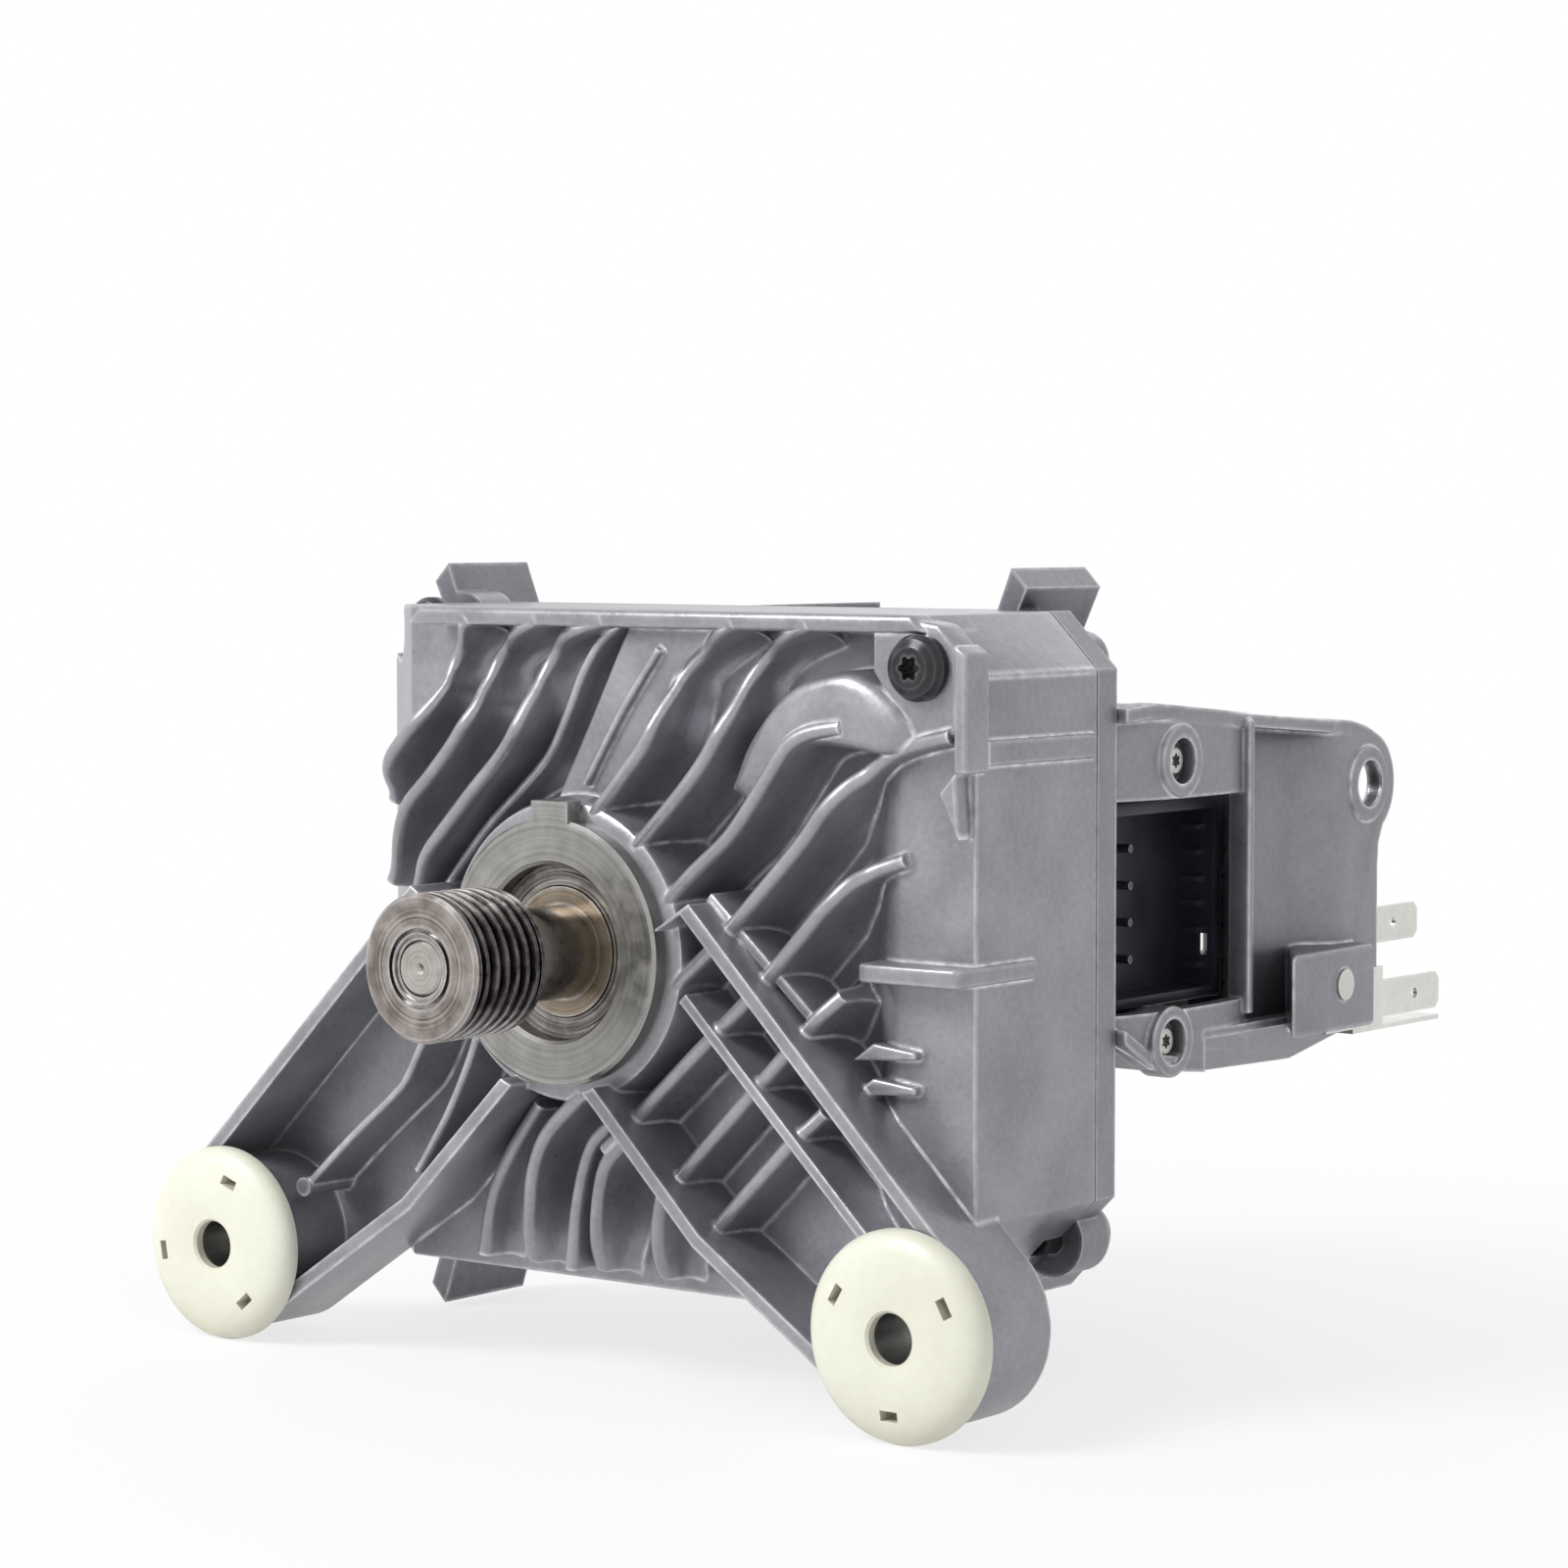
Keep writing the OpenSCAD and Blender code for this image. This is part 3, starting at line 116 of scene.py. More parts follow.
class Nodes:
    """A small helper that adds and links the nodes of one tree."""

    def __init__(self, tree: bpy.types.NodeTree) -> None:
        """Keeps the tree.

        Args:
            tree: The node tree to build in.
        """
        self.tree = tree

    def add(self, kind: str, **values: object) -> bpy.types.Node:
        """Adds a node.

        Args:
            kind: The node's type, such as ShaderNodeMath.
            values: Properties of the node.

        Returns:
            The new node.
        """
        node = self.tree.nodes.new(kind)
        for key, value in values.items():
            setattr(node, key, value)
        return node

    def feed(self, socket: bpy.types.NodeSocket, value: object) -> None:
        """Links a socket to another one, or sets it to a plain value.

        Args:
            socket: The input to feed.
            value: Another node's output, or a number, colour or vector.
        """
        if isinstance(value, bpy.types.NodeSocket):
            self.tree.links.new(value, socket)
        else:
            socket.default_value = value

    def maths(self, operation: str, *values: object) -> bpy.types.NodeSocket:
        """Adds a Math node.

        Args:
            operation: The name of the operation.
            values: Its inputs, each a socket or a number.

        Returns:
            The result's socket.
        """
        node = self.add("ShaderNodeMath", operation=operation)
        for socket, value in zip(node.inputs, values):
            self.feed(socket, value)
        return node.outputs[0]

    def blend(self, share: object, low: object, high: object) -> bpy.types.NodeSocket:
        """Mixes two colours.

        Args:
            share: The share of the second colour.
            low: The first colour, a socket or four numbers.
            high: The second colour.

        Returns:
            The mixed colour's socket.
        """
        node = self.add("ShaderNodeMix", data_type="RGBA")
        self.feed(node.inputs[0], share)
        self.feed(node.inputs[6], low)
        self.feed(node.inputs[7], high)
        return node.outputs[2]

    def stretch(self, value: object, low: float, high: float, to_low: float = 0.0,
                to_high: float = 1.0) -> bpy.types.NodeSocket:
        """Maps a value from one range to another, clamped.

        Args:
            value: The value's socket.
            low: Start of the first range.
            high: End of the first range.
            to_low: Start of the second range.
            to_high: End of the second range.

        Returns:
            The mapped value's socket.
        """
        node = self.add("ShaderNodeMapRange")
        for socket, item in zip(node.inputs, (value, low, high, to_low, to_high)):
            self.feed(socket, item)
        return node.outputs[0]

    def noise(self, vector: object, scale: object, detail: float = 3.0,
              dimensions: str = "3D") -> bpy.types.NodeSocket:
        """Adds a noise texture.

        Args:
            vector: The place, or the value of a one-dimensional noise.
            scale: The noise's scale.
            detail: Number of octaves.
            dimensions: 3D or 1D.

        Returns:
            The noise value's socket.
        """
        node = self.add("ShaderNodeTexNoise", noise_dimensions=dimensions)
        self.feed(node.inputs["W" if dimensions == "1D" else "Vector"], vector)
        self.feed(node.inputs["Scale"], scale)
        node.inputs["Detail"].default_value = detail
        return node.outputs["Fac"]

    def weigh(self, first: object, second: object, share: float) -> bpy.types.NodeSocket:
        """Adds two values by weight.

        Args:
            first: The first value's socket.
            second: The second value's socket.
            share: Weight of the first, where the second has the rest.

        Returns:
            The sum's socket.
        """
        weighed = self.maths("MULTIPLY", first, share)
        return self.maths("ADD", weighed, self.maths("MULTIPLY", second, 1.0 - share))

    def dot(self, first: object, second: object) -> bpy.types.NodeSocket:
        """Multiplies two directions.

        Args:
            first: The first direction's socket.
            second: The second direction's socket.

        Returns:
            The socket of the cosine between them.
        """
        node = self.add("ShaderNodeVectorMath", operation="DOT_PRODUCT")
        self.feed(node.inputs[0], first)
        self.feed(node.inputs[1], second)
        return node.outputs["Value"]

    def bump(self, height: object) -> bpy.types.NodeSocket:
        """Turns a height into a normal.

        Args:
            height: The height's socket, in metres.

        Returns:
            The normal's socket.
        """
        node = self.add("ShaderNodeBump")
        self.feed(node.inputs["Distance"], 1.0)
        self.feed(node.inputs["Height"], height)
        return node.outputs[0]

    def background_rays(self) -> bpy.types.NodeSocket:
        """Finds the rays that see the white background: from the camera, off metal and through glass.

        Returns:
            The socket of a value that is 1 for them and 0 for the rays that light the motor.
        """
        path = self.add("ShaderNodeLightPath")
        rays = self.maths("MAXIMUM", path.outputs["Is Camera Ray"], path.outputs["Is Glossy Ray"])
        return self.maths("MAXIMUM", rays, path.outputs["Is Transmission Ray"])


def make_group(name: str, inputs: dict[str, float], outputs: dict[str, str]) -> tuple[Nodes, dict, dict]:
    """Starts a shader node group.

    Args:
        name: The group's name.
        inputs: Float inputs with their defaults.
        outputs: Outputs with their socket types.

    Returns:
        The helper, the input sockets inside the group and its output sockets.
    """
    tree = bpy.data.node_groups.new(name, "ShaderNodeTree")
    for key, value in inputs.items():
        socket = tree.interface.new_socket(name=key, in_out="INPUT", socket_type="NodeSocketFloat")
        socket.default_value = value
    for key, kind in outputs.items():
        tree.interface.new_socket(name=key, in_out="OUTPUT", socket_type=kind)
    nodes = Nodes(tree)
    source = nodes.add("NodeGroupInput")
    target = nodes.add("NodeGroupOutput")
    return nodes, {k: source.outputs[k] for k in inputs}, {k: target.inputs[k] for k in outputs}


@dataclass(frozen=True)
class WearAndLight:
    """How far worn edges with a painted highlight and recesses in painted shade reach.

    reach and depth are lengths in metres and patch is the scale of the patches that
    break both up. The pairs are the ranges that are stretched to the whole: cosines
    between the rounded and the true normal, shares of open sky, and noise values.
    """

    patch: float = 420.0
    reach: float = 0.0011
    depth: float = 0.014
    corner: tuple[float, float] = (0.99, 0.86)
    recess: tuple[float, float] = (0.3, 0.92)
    # Patches that break up the worn metal and painted highlight on edges.
    edge_patch: tuple[float, float] = (0.35, 0.6)
    edge_least: float = 0.45
    # Patches that break up the painted shade in the recesses.
    recess_shade_patch: tuple[float, float] = (0.3, 0.7)
    recess_shade_least: float = 0.8


def build_wear_and_light_group(wear_and_light: WearAndLight = WearAndLight()) -> bpy.types.NodeTree:
    """Builds the group for worn edges with painted highlights and recesses in painted shade.

    Args:
        wear_and_light: How far they reach.

    Returns:
        The group, with the input Patch and the outputs Edge, edges for bare metal with a
        painted highlight, and Dirt, recesses for painted shade.
    """
    nodes, given, out = make_group(
        "wear_and_painted_light", {"Patch": wear_and_light.patch}, {"Edge": "NodeSocketFloat", "Dirt": "NodeSocketFloat"})
    place = nodes.add("ShaderNodeTexCoord").outputs["Object"]
    patch = nodes.noise(place, given["Patch"], 4.0)
    # Worn bare metal and a painted highlight on edges and on rounded crests.
    bevel = nodes.add("ShaderNodeBevel", samples=4)
    bevel.inputs["Radius"].default_value = wear_and_light.reach
    normal = nodes.add("ShaderNodeNewGeometry").outputs["Normal"]
    sharp = nodes.stretch(nodes.dot(bevel.outputs[0], normal), *wear_and_light.corner)
    spots = nodes.stretch(patch, *wear_and_light.edge_patch, wear_and_light.edge_least, 1.0)
    nodes.feed(out["Edge"], nodes.maths("MULTIPLY", sharp, spots))
    # Painted shade: the less open sky a spot sees, the darker it is painted.
    occlusion = nodes.add("ShaderNodeAmbientOcclusion", samples=6)
    occlusion.inputs["Distance"].default_value = wear_and_light.depth
    shade = nodes.stretch(occlusion.outputs["AO"], *wear_and_light.recess, 1.0, 0.0)
    spots = nodes.stretch(patch, *wear_and_light.recess_shade_patch, wear_and_light.recess_shade_least, 1.0)
    nodes.feed(out["Dirt"], nodes.maths("MULTIPLY", shade, spots))
    return nodes.tree


SURFACE_OUTPUTS = {"Tone": "NodeSocketFloat", "Gloss": "NodeSocketFloat", "Normal": "NodeSocketVector"}


@dataclass(frozen=True)
class Grain:
    """How fine grain and wide clouds share a cast, moulded or plated surface.

    cloud is the clouds' scale as a share of the grain's, fine the grain's weight in the
    tone, tone and gloss the noise ranges that are stretched, and gloss_swing how far the
    roughness swings.
    """

    cloud: float = 0.09
    fine: float = 0.35
    tone: tuple[float, float] = (0.36, 0.64)
    gloss: tuple[float, float] = (0.35, 0.65)
    gloss_swing: tuple[float, float] = (-0.07, 0.07)


def build_grain_group(grain: Grain = Grain()) -> bpy.types.NodeTree:
    """Builds the group for cast, moulded and plated surfaces.

    Args:
        grain: The shares of grain and clouds.

    Returns:
        The group, with the inputs Size and Depth and the outputs Tone, Gloss and Normal.
    """
    nodes, given, out = make_group("surface_grain", {"Size": 0.001, "Depth": 0.00003}, SURFACE_OUTPUTS)
    place = nodes.add("ShaderNodeTexCoord").outputs["Object"]
    scale = nodes.maths("DIVIDE", 1.0, given["Size"])
    fine = nodes.noise(place, scale, 4.0)
    cloud = nodes.noise(place, nodes.maths("MULTIPLY", scale, grain.cloud), 3.0)
    nodes.feed(out["Tone"], nodes.stretch(nodes.weigh(fine, cloud, grain.fine), *grain.tone))
    nodes.feed(out["Gloss"], nodes.stretch(cloud, *grain.gloss, *grain.gloss_swing))
    nodes.feed(out["Normal"], nodes.bump(nodes.maths("MULTIPLY", fine, given["Depth"])))
    return nodes.tree


@dataclass(frozen=True)
class LatheMarks:
    """How turning marks and stains share a turned, stacked or wound surface.

    stain is the stains' scale and lines the marks' weight in the tone. tone and gloss are
    the noise ranges that are stretched, and gloss_swing is how far the roughness swings.
    """

    stain: float = 260.0
    lines: float = 0.45
    tone: tuple[float, float] = (0.38, 0.62)
    gloss: tuple[float, float] = (0.35, 0.65)
    gloss_swing: tuple[float, float] = (-0.08, 0.1)


def build_lathe_group(marks: LatheMarks = LatheMarks()) -> bpy.types.NodeTree:
    """Builds the group for turned surfaces and for stacks and windings across the shaft.

    Args:
        marks: The shares of marks and stains.

    Returns:
        The group, with the inputs Size, Depth and Across and the outputs Tone, Gloss and Normal.
    """
    nodes, given, out = make_group(
        "lathe_marks", {"Size": 0.0003, "Depth": 0.00001, "Across": 1.0}, SURFACE_OUTPUTS)
    place = nodes.add("ShaderNodeTexCoord").outputs["Object"]
    axes = nodes.add("ShaderNodeSeparateXYZ")
    nodes.feed(axes.inputs[0], place)
    squares = [nodes.maths("POWER", axes.outputs[axis], 2.0) for axis in ("X", "Z")]
    radius = nodes.maths("SQRT", nodes.maths("ADD", *squares))
    sweep = nodes.maths("ADD", nodes.maths("MULTIPLY", radius, given["Across"]), axes.outputs["Y"])
    lines = nodes.noise(sweep, nodes.maths("DIVIDE", 1.0, given["Size"]), 2.0, "1D")
    stain = nodes.noise(place, marks.stain, 5.0)
    nodes.feed(out["Tone"], nodes.stretch(nodes.weigh(lines, stain, marks.lines), *marks.tone))
    nodes.feed(out["Gloss"], nodes.stretch(stain, *marks.gloss, *marks.gloss_swing))
    nodes.feed(out["Normal"], nodes.bump(nodes.maths("MULTIPLY", lines, given["Depth"])))
    return nodes.tree


@dataclass
class Paintshop:
    """Makes each finish once, from the shared node groups."""

    wear_and_light: bpy.types.NodeTree = field(default_factory=build_wear_and_light_group)
    grain: bpy.types.NodeTree = field(default_factory=build_grain_group)
    lathe: bpy.types.NodeTree = field(default_factory=build_lathe_group)
    made: dict[str, bpy.types.Material] = field(default_factory=dict)
    edge_polish: float = 0.1

    def material(self, finish: Finish) -> bpy.types.Material:
        """Gives the material of a finish.

        Args:
            finish: The finish.

        Returns:
            Its material, made on the first call.
        """
        if finish.name not in self.made:
            self.made[finish.name] = self._make(finish)
        return self.made[finish.name]

    def dress(self, piece: bpy.types.Object, finish: Finish) -> None:
        """Gives a piece one finish all over.

        Args:
            piece: The piece.
            finish: Its finish.
        """
        piece.data.materials.clear()
        piece.data.materials.append(self.material(finish))

    def _make(self, finish: Finish) -> bpy.types.Material:
        """Builds the material of a finish.

        Args:
            finish: The finish.

        Returns:
            The new material.
        """
        material = bpy.data.materials.new(finish.name)
        material.use_nodes = True
        nodes = Nodes(material.node_tree)
        shader = material.node_tree.nodes["Principled BSDF"]
        shader.inputs["Metallic"].default_value = finish.metallic
        lathe = finish.pattern in (Pattern.TURNED, Pattern.STACKED, Pattern.WOUND)
        marks = nodes.add("ShaderNodeGroup", node_tree=self.lathe if lathe else self.grain)
        marks.inputs["Size"].default_value = finish.grain
        marks.inputs["Depth"].default_value = finish.depth
        if lathe:
            marks.inputs["Across"].default_value = 1.0 if finish.pattern is Pattern.TURNED else 0.0
        colour = nodes.blend(marks.outputs["Tone"], (*finish.shade, 1.0), (*finish.colour, 1.0))
        rough = nodes.maths("ADD", marks.outputs["Gloss"], finish.roughness)
        if finish.edge or finish.dirt:
            wear_and_light = nodes.add("ShaderNodeGroup", node_tree=self.wear_and_light)
            # Painted shade in the recesses.
            dirt = nodes.maths("MULTIPLY", wear_and_light.outputs["Dirt"], finish.dirt)
            # Bare metal and a painted highlight on edges and crests.
            edge = nodes.maths("MULTIPLY", wear_and_light.outputs["Edge"], finish.edge)
            colour = nodes.blend(dirt, colour, (*finish.recess_shade_colour, 1.0))
            colour = nodes.blend(edge, colour, (*finish.bright, 1.0))
            rough = nodes.maths("SUBTRACT", rough, nodes.maths("MULTIPLY", edge, self.edge_polish))
        nodes.feed(shader.inputs["Base Color"], colour)
        nodes.feed(shader.inputs["Roughness"], rough)
        nodes.feed(shader.inputs["Normal"], marks.outputs["Normal"])
        return material


CAST = Finish(
    "cast_aluminium", colour=(0.35, 0.347, 0.372), shade=(0.25, 0.248, 0.27), roughness=0.34,
    metallic=0.5, pattern=Pattern.CAST, grain=0.0011, depth=0.00004, edge=1.0, dirt=0.12,
    bright=(0.88, 0.88, 0.90), recess_shade_colour=(0.050, 0.048, 0.062))
CAST_BRACKET = Finish(
    "cast_aluminium_bracket", colour=(0.31, 0.308, 0.335), shade=(0.23, 0.228, 0.25), roughness=0.40,
    metallic=0.6, pattern=Pattern.CAST, grain=0.0011, depth=0.00004, edge=0.9, dirt=0.5,
    bright=(0.92, 0.92, 0.94), recess_shade_colour=(0.05, 0.05, 0.065))
CAST_REAR = Finish(
    "cast_aluminium_rear", colour=(0.30, 0.298, 0.325), shade=(0.22, 0.218, 0.24), roughness=0.40,
    metallic=0.7, pattern=Pattern.CAST, grain=0.0011, depth=0.00004, edge=0.6, dirt=0.8,
    bright=(0.74, 0.74, 0.77), recess_shade_colour=(0.015, 0.015, 0.022))
NICKEL = Finish(
    "nickel_steel", colour=(0.36, 0.352, 0.335), shade=(0.26, 0.252, 0.238), roughness=0.36,
    metallic=0.85, pattern=Pattern.TURNED, grain=0.0006, depth=0.000004, edge=0.3, dirt=0.3)
PULLEY = Finish(
    "turned_steel", colour=(0.42, 0.385, 0.36), shade=(0.16, 0.13, 0.115), roughness=0.27,
    metallic=1.0, pattern=Pattern.TURNED, grain=0.0004, depth=0.000006, edge=0.6, dirt=0.9,
    recess_shade_colour=(0.03, 0.022, 0.018))
SHAFT = Finish(
    "ground_steel", colour=(0.50, 0.48, 0.45), shade=(0.34, 0.31, 0.28), roughness=0.28, metallic=1.0,
    pattern=Pattern.TURNED, grain=0.0004, depth=0.000005, edge=0.4, dirt=0.6,
    recess_shade_colour=(0.03, 0.022, 0.016))
BROWN_RING = Finish(
    "worn_ring", colour=(0.44, 0.37, 0.28), shade=(0.26, 0.20, 0.14), roughness=0.3, metallic=0.9,
    pattern=Pattern.TURNED, grain=0.0005, depth=0.000005, edge=0.6, dirt=0.7, recess_shade_colour=(0.02, 0.014, 0.01))
BROWN_SEAL = Finish(
    "brown_seal", colour=(0.20, 0.155, 0.11), shade=(0.10, 0.075, 0.05), roughness=0.38, metallic=0.5,
    pattern=Pattern.TURNED, grain=0.0005, depth=0.000006, edge=0.5, dirt=0.6,
    recess_shade_colour=(0.012, 0.01, 0.008))
BEARING = Finish(
    "bearing_steel", colour=(0.66, 0.65, 0.63), shade=(0.52, 0.50, 0.46), roughness=0.2, metallic=1.0,
    pattern=Pattern.TURNED, grain=0.0005, depth=0.000003, edge=0.2, dirt=0.4)
OXIDE = Finish(
    "black_oxide", colour=(0.05, 0.05, 0.055), shade=(0.028, 0.028, 0.032), roughness=0.3,
    metallic=0.6, pattern=Pattern.PLATED, grain=0.0009, depth=0.00001, edge=0.35, dirt=0.3,
    bright=(0.42, 0.42, 0.44))
ZINC = Finish(
    "zinc_steel", colour=(0.62, 0.61, 0.58), shade=(0.47, 0.46, 0.44), roughness=0.33, metallic=0.95,
    pattern=Pattern.PLATED, grain=0.0012, depth=0.000008, edge=0.3, dirt=0.5)
BLOCK = Finish(
    "dark_plastic", colour=(0.016, 0.019, 0.028), shade=(0.009, 0.011, 0.018), roughness=0.4,
    metallic=0.0, pattern=Pattern.MOULDED, grain=0.0007, depth=0.00001, edge=0.12, dirt=0.2,
    bright=(0.12, 0.13, 0.16))
TIN = Finish(
    "tinned_brass", colour=(0.72, 0.71, 0.68), shade=(0.60, 0.59, 0.55), roughness=0.3, metallic=0.95,
    pattern=Pattern.PLATED, grain=0.0015, depth=0.000006, edge=0.3, dirt=0.2)
# Tinned brass of the connector pins painted nearly black: painted shade of the socket around them.
SHADED_TIN = Finish(
    "tinned_brass_in_painted_shade", colour=(0.09, 0.09, 0.10), shade=(0.05, 0.05, 0.055), roughness=0.4,
    metallic=0.8, pattern=Pattern.PLATED, grain=0.0015, depth=0.000006, edge=0.2, dirt=0.3)
CREAM = Finish(
    "cream_plastic", colour=(0.81, 0.81, 0.69), shade=(0.76, 0.75, 0.62), roughness=0.40, metallic=0.0,
    pattern=Pattern.MOULDED, grain=0.0016, depth=0.00001, dirt=0.28, recess_shade_colour=(0.24, 0.2, 0.13))
STEEL_STACK = Finish(
    "electrical_steel", colour=(0.36, 0.37, 0.40), shade=(0.22, 0.23, 0.25), roughness=0.45,
    metallic=0.7, pattern=Pattern.STACKED, grain=0.0006, depth=0.00004, edge=0.1, dirt=0.3)
FERRITE = Finish(
    "ferrite", colour=(0.06, 0.06, 0.065), shade=(0.035, 0.035, 0.04), roughness=0.5, metallic=0.1,
    pattern=Pattern.MOULDED, grain=0.0008, depth=0.00002, edge=0.1, dirt=0.2)
BRASS_CAGE = Finish(
    "cage_brass", colour=(0.55, 0.42, 0.2), shade=(0.4, 0.3, 0.14), roughness=0.3, metallic=1.0,
    pattern=Pattern.PLATED, grain=0.0010, depth=0.000006, edge=0.2, dirt=0.4)
RUBBER = Finish(
    "seal_rubber", colour=(0.03, 0.03, 0.032), shade=(0.018, 0.018, 0.02), roughness=0.55,
    metallic=0.0, pattern=Pattern.MOULDED, grain=0.0006, depth=0.00001, dirt=0.2)
IVORY = Finish(
    "ivory_plastic", colour=(0.70, 0.67, 0.55), shade=(0.62, 0.58, 0.46), roughness=0.45, metallic=0.0,
    pattern=Pattern.MOULDED, grain=0.0014, depth=0.00001, dirt=0.3)
COPPER = Finish(
    "copper_wire", colour=(0.52, 0.20, 0.08), shade=(0.28, 0.09, 0.035), roughness=0.3, metallic=0.8,
    pattern=Pattern.WOUND, grain=0.0007, depth=0.0002, dirt=0.4)
LEAD = Finish(
    "lead_rubber", colour=(0.48, 0.05, 0.035), shade=(0.36, 0.035, 0.025), roughness=0.5, metallic=0.0,
    pattern=Pattern.MOULDED, grain=0.0008, depth=0.00001, dirt=0.2)
BOARD = Finish(
    "board_green", colour=(0.03, 0.17, 0.07), shade=(0.02, 0.12, 0.05), roughness=0.35, metallic=0.0,
    pattern=Pattern.MOULDED, grain=0.0010, depth=0.00001, edge=0.1, dirt=0.2)

CAD_FINISHES: dict[Finish, tuple[str, ...]] = {
    CAST: ("front_shield",),
    CAST_BRACKET: ("terminal_bracket",),
    CAST_REAR: ("rear_housing", "rear_cap"),
    NICKEL: ("bearing_sleeve",),
    PULLEY: ("pulley",),
    SHAFT: ("shaft",),
    BROWN_RING: ("front_outer_ring", "front_inner_ring"),
    BROWN_SEAL: ("front_seals",),
    BEARING: ("front_balls", "rear_outer_ring", "rear_inner_ring", "rear_balls"),
    OXIDE: ("rear_cap_screws", "shield_screws", "shaft_circlip", "front_retaining_ring"),
    ZINC: ("bracket_screws", "earth_rivet", "left_bush_sleeve", "right_bush_sleeve", "rotor_end_plates",
           "wave_washer"),
    BLOCK: ("connector_block", "thermal_protector"),
    SHADED_TIN: ("connector_pins",),
    TIN: ("upper_blade", "earth_tab"),
    CREAM: ("left_bush", "right_bush"),
    STEEL_STACK: ("rotor_core", "stator_core"),
    FERRITE: ("rotor_magnets", "sensor_magnet"),
    BRASS_CAGE: ("front_cage", "rear_cage"),
    RUBBER: ("rear_seals", "lead_grommet"),
    IVORY: ("front_insulator", "rear_insulator"),
    COPPER: ("stator_coils",),
    LEAD: ("winding_leads",),
    BOARD: ("sensor_board",),
}


def dress_cad_nodes(paint: Paintshop) -> None:
    """Gives every CAD node its finish.

    Args:
        paint: The maker of materials.
    """
    for finish, names in CAD_FINISHES.items():
        for name in names:
            paint.dress(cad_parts[name], finish)
            LOG.info("dressed %s in %s", name, finish.name)


def select_only(piece: bpy.types.Object) -> None:
    """Makes one object the only selected and the active one.

    Args:
        piece: The object.
    """
    bpy.ops.object.select_all(action="DESELECT")
    piece.select_set(True)
    bpy.context.view_layer.objects.active = piece


def apply_modifier(piece: bpy.types.Object, kind: str, **values: object) -> None:
    """Adds a modifier to an object and applies it.

    Args:
        piece: The object.
        kind: The modifier's type.
        values: Its settings.
    """
    select_only(piece)
    modifier = piece.modifiers.new(kind.lower(), kind)
    for key, value in values.items():
        setattr(modifier, key, value)
    bpy.ops.object.modifier_apply(modifier=modifier.name)


def polygon_piece(name: str, ring: list[Vector], fill: str = "NGON") -> bpy.types.Object:
    """Starts a piece as one flat face, or as a bare ring of edges.

    Args:
        name: The piece's name.
        ring: The face's corners in millimetres.
        fill: NGON for a face, NOTHING for a bare ring.

    Returns:
        The object, in edit mode with all of it selected.
    """
    bpy.ops.object.select_all(action="DESELECT")
    bpy.ops.mesh.primitive_circle_add(vertices=len(ring), fill_type=fill)
    piece = bpy.context.object
    piece.name = name
    piece.data.name = name
    for vertex, corner in zip(piece.data.vertices, ring):
        vertex.co = Vector(corner) * MM
    bpy.ops.object.mode_set(mode="EDIT")
    bpy.ops.mesh.select_all(action="SELECT")
    return piece


def move_ring(piece: bpy.types.Object, old: list[Vector], new: list[Vector]) -> None:
    """Moves the selected ring of a piece in edit mode to its next place.

    Args:
        piece: The piece.
        old: Where the ring's corners are now, in millimetres.
        new: Where each of them goes.
    """
    mesh = bmesh.from_edit_mesh(piece.data)
    for vertex in [v for v in mesh.verts if v.select]:
        nearest = min(range(len(old)), key=lambda k: (vertex.co / MM - old[k]).length)
        vertex.co = new[nearest] * MM
    bmesh.update_edit_mesh(piece.data)


def finish_edit(piece: bpy.types.Object) -> bpy.types.Object:
    """Leaves edit mode with all faces turned outwards.

    Args:
        piece: The piece, in edit mode.

    Returns:
        The same piece.
    """
    bpy.ops.mesh.select_all(action="SELECT")
    bpy.ops.mesh.normals_make_consistent(inside=False)
    bpy.ops.object.mode_set(mode="OBJECT")
    return piece


def circle(centre: Flat, radius: float, sides: int) -> list[Flat]:
    """Gives the corners of a regular polygon.

    Args:
        centre: Its middle.
        radius: Distance of its corners from the middle.
        sides: Number of its corners.

    Returns:
        The corners.
    """
    turns = [math.tau * k / sides for k in range(sides)]
    return [(centre[0] + radius * math.cos(t), centre[1] + radius * math.sin(t)) for t in turns]


def drawn_out(name: str, ring: list[Vector], way: tuple[float, float, float]) -> bpy.types.Object:
    """Extrudes a flat face in a straight line.

    Args:
        name: The piece's name.
        ring: The face's corners in millimetres.
        way: How far it is extruded along X, Y and Z.

    Returns:
        The closed piece.
    """
    piece = polygon_piece(name, ring)
    bpy.ops.mesh.extrude_region_move(TRANSFORM_OT_translate={"value": tuple(step * MM for step in way)})
    return finish_edit(piece)


def stacked(name: str, rings: list[list[Vector]]) -> bpy.types.Object:
    """Builds a solid from rings that follow each other, like the frames of a hull.

    Args:
        name: The piece's name.
        rings: The rings' corners in millimetres, each ring with as many corners.

    Returns:
        The closed piece.
    """
    piece = polygon_piece(name, rings[0])
    for below, above in zip(rings, rings[1:]):
        bpy.ops.mesh.extrude_region_move(TRANSFORM_OT_translate={"value": (0, 0, 0)})
        move_ring(piece, below, above)
    return finish_edit(piece)


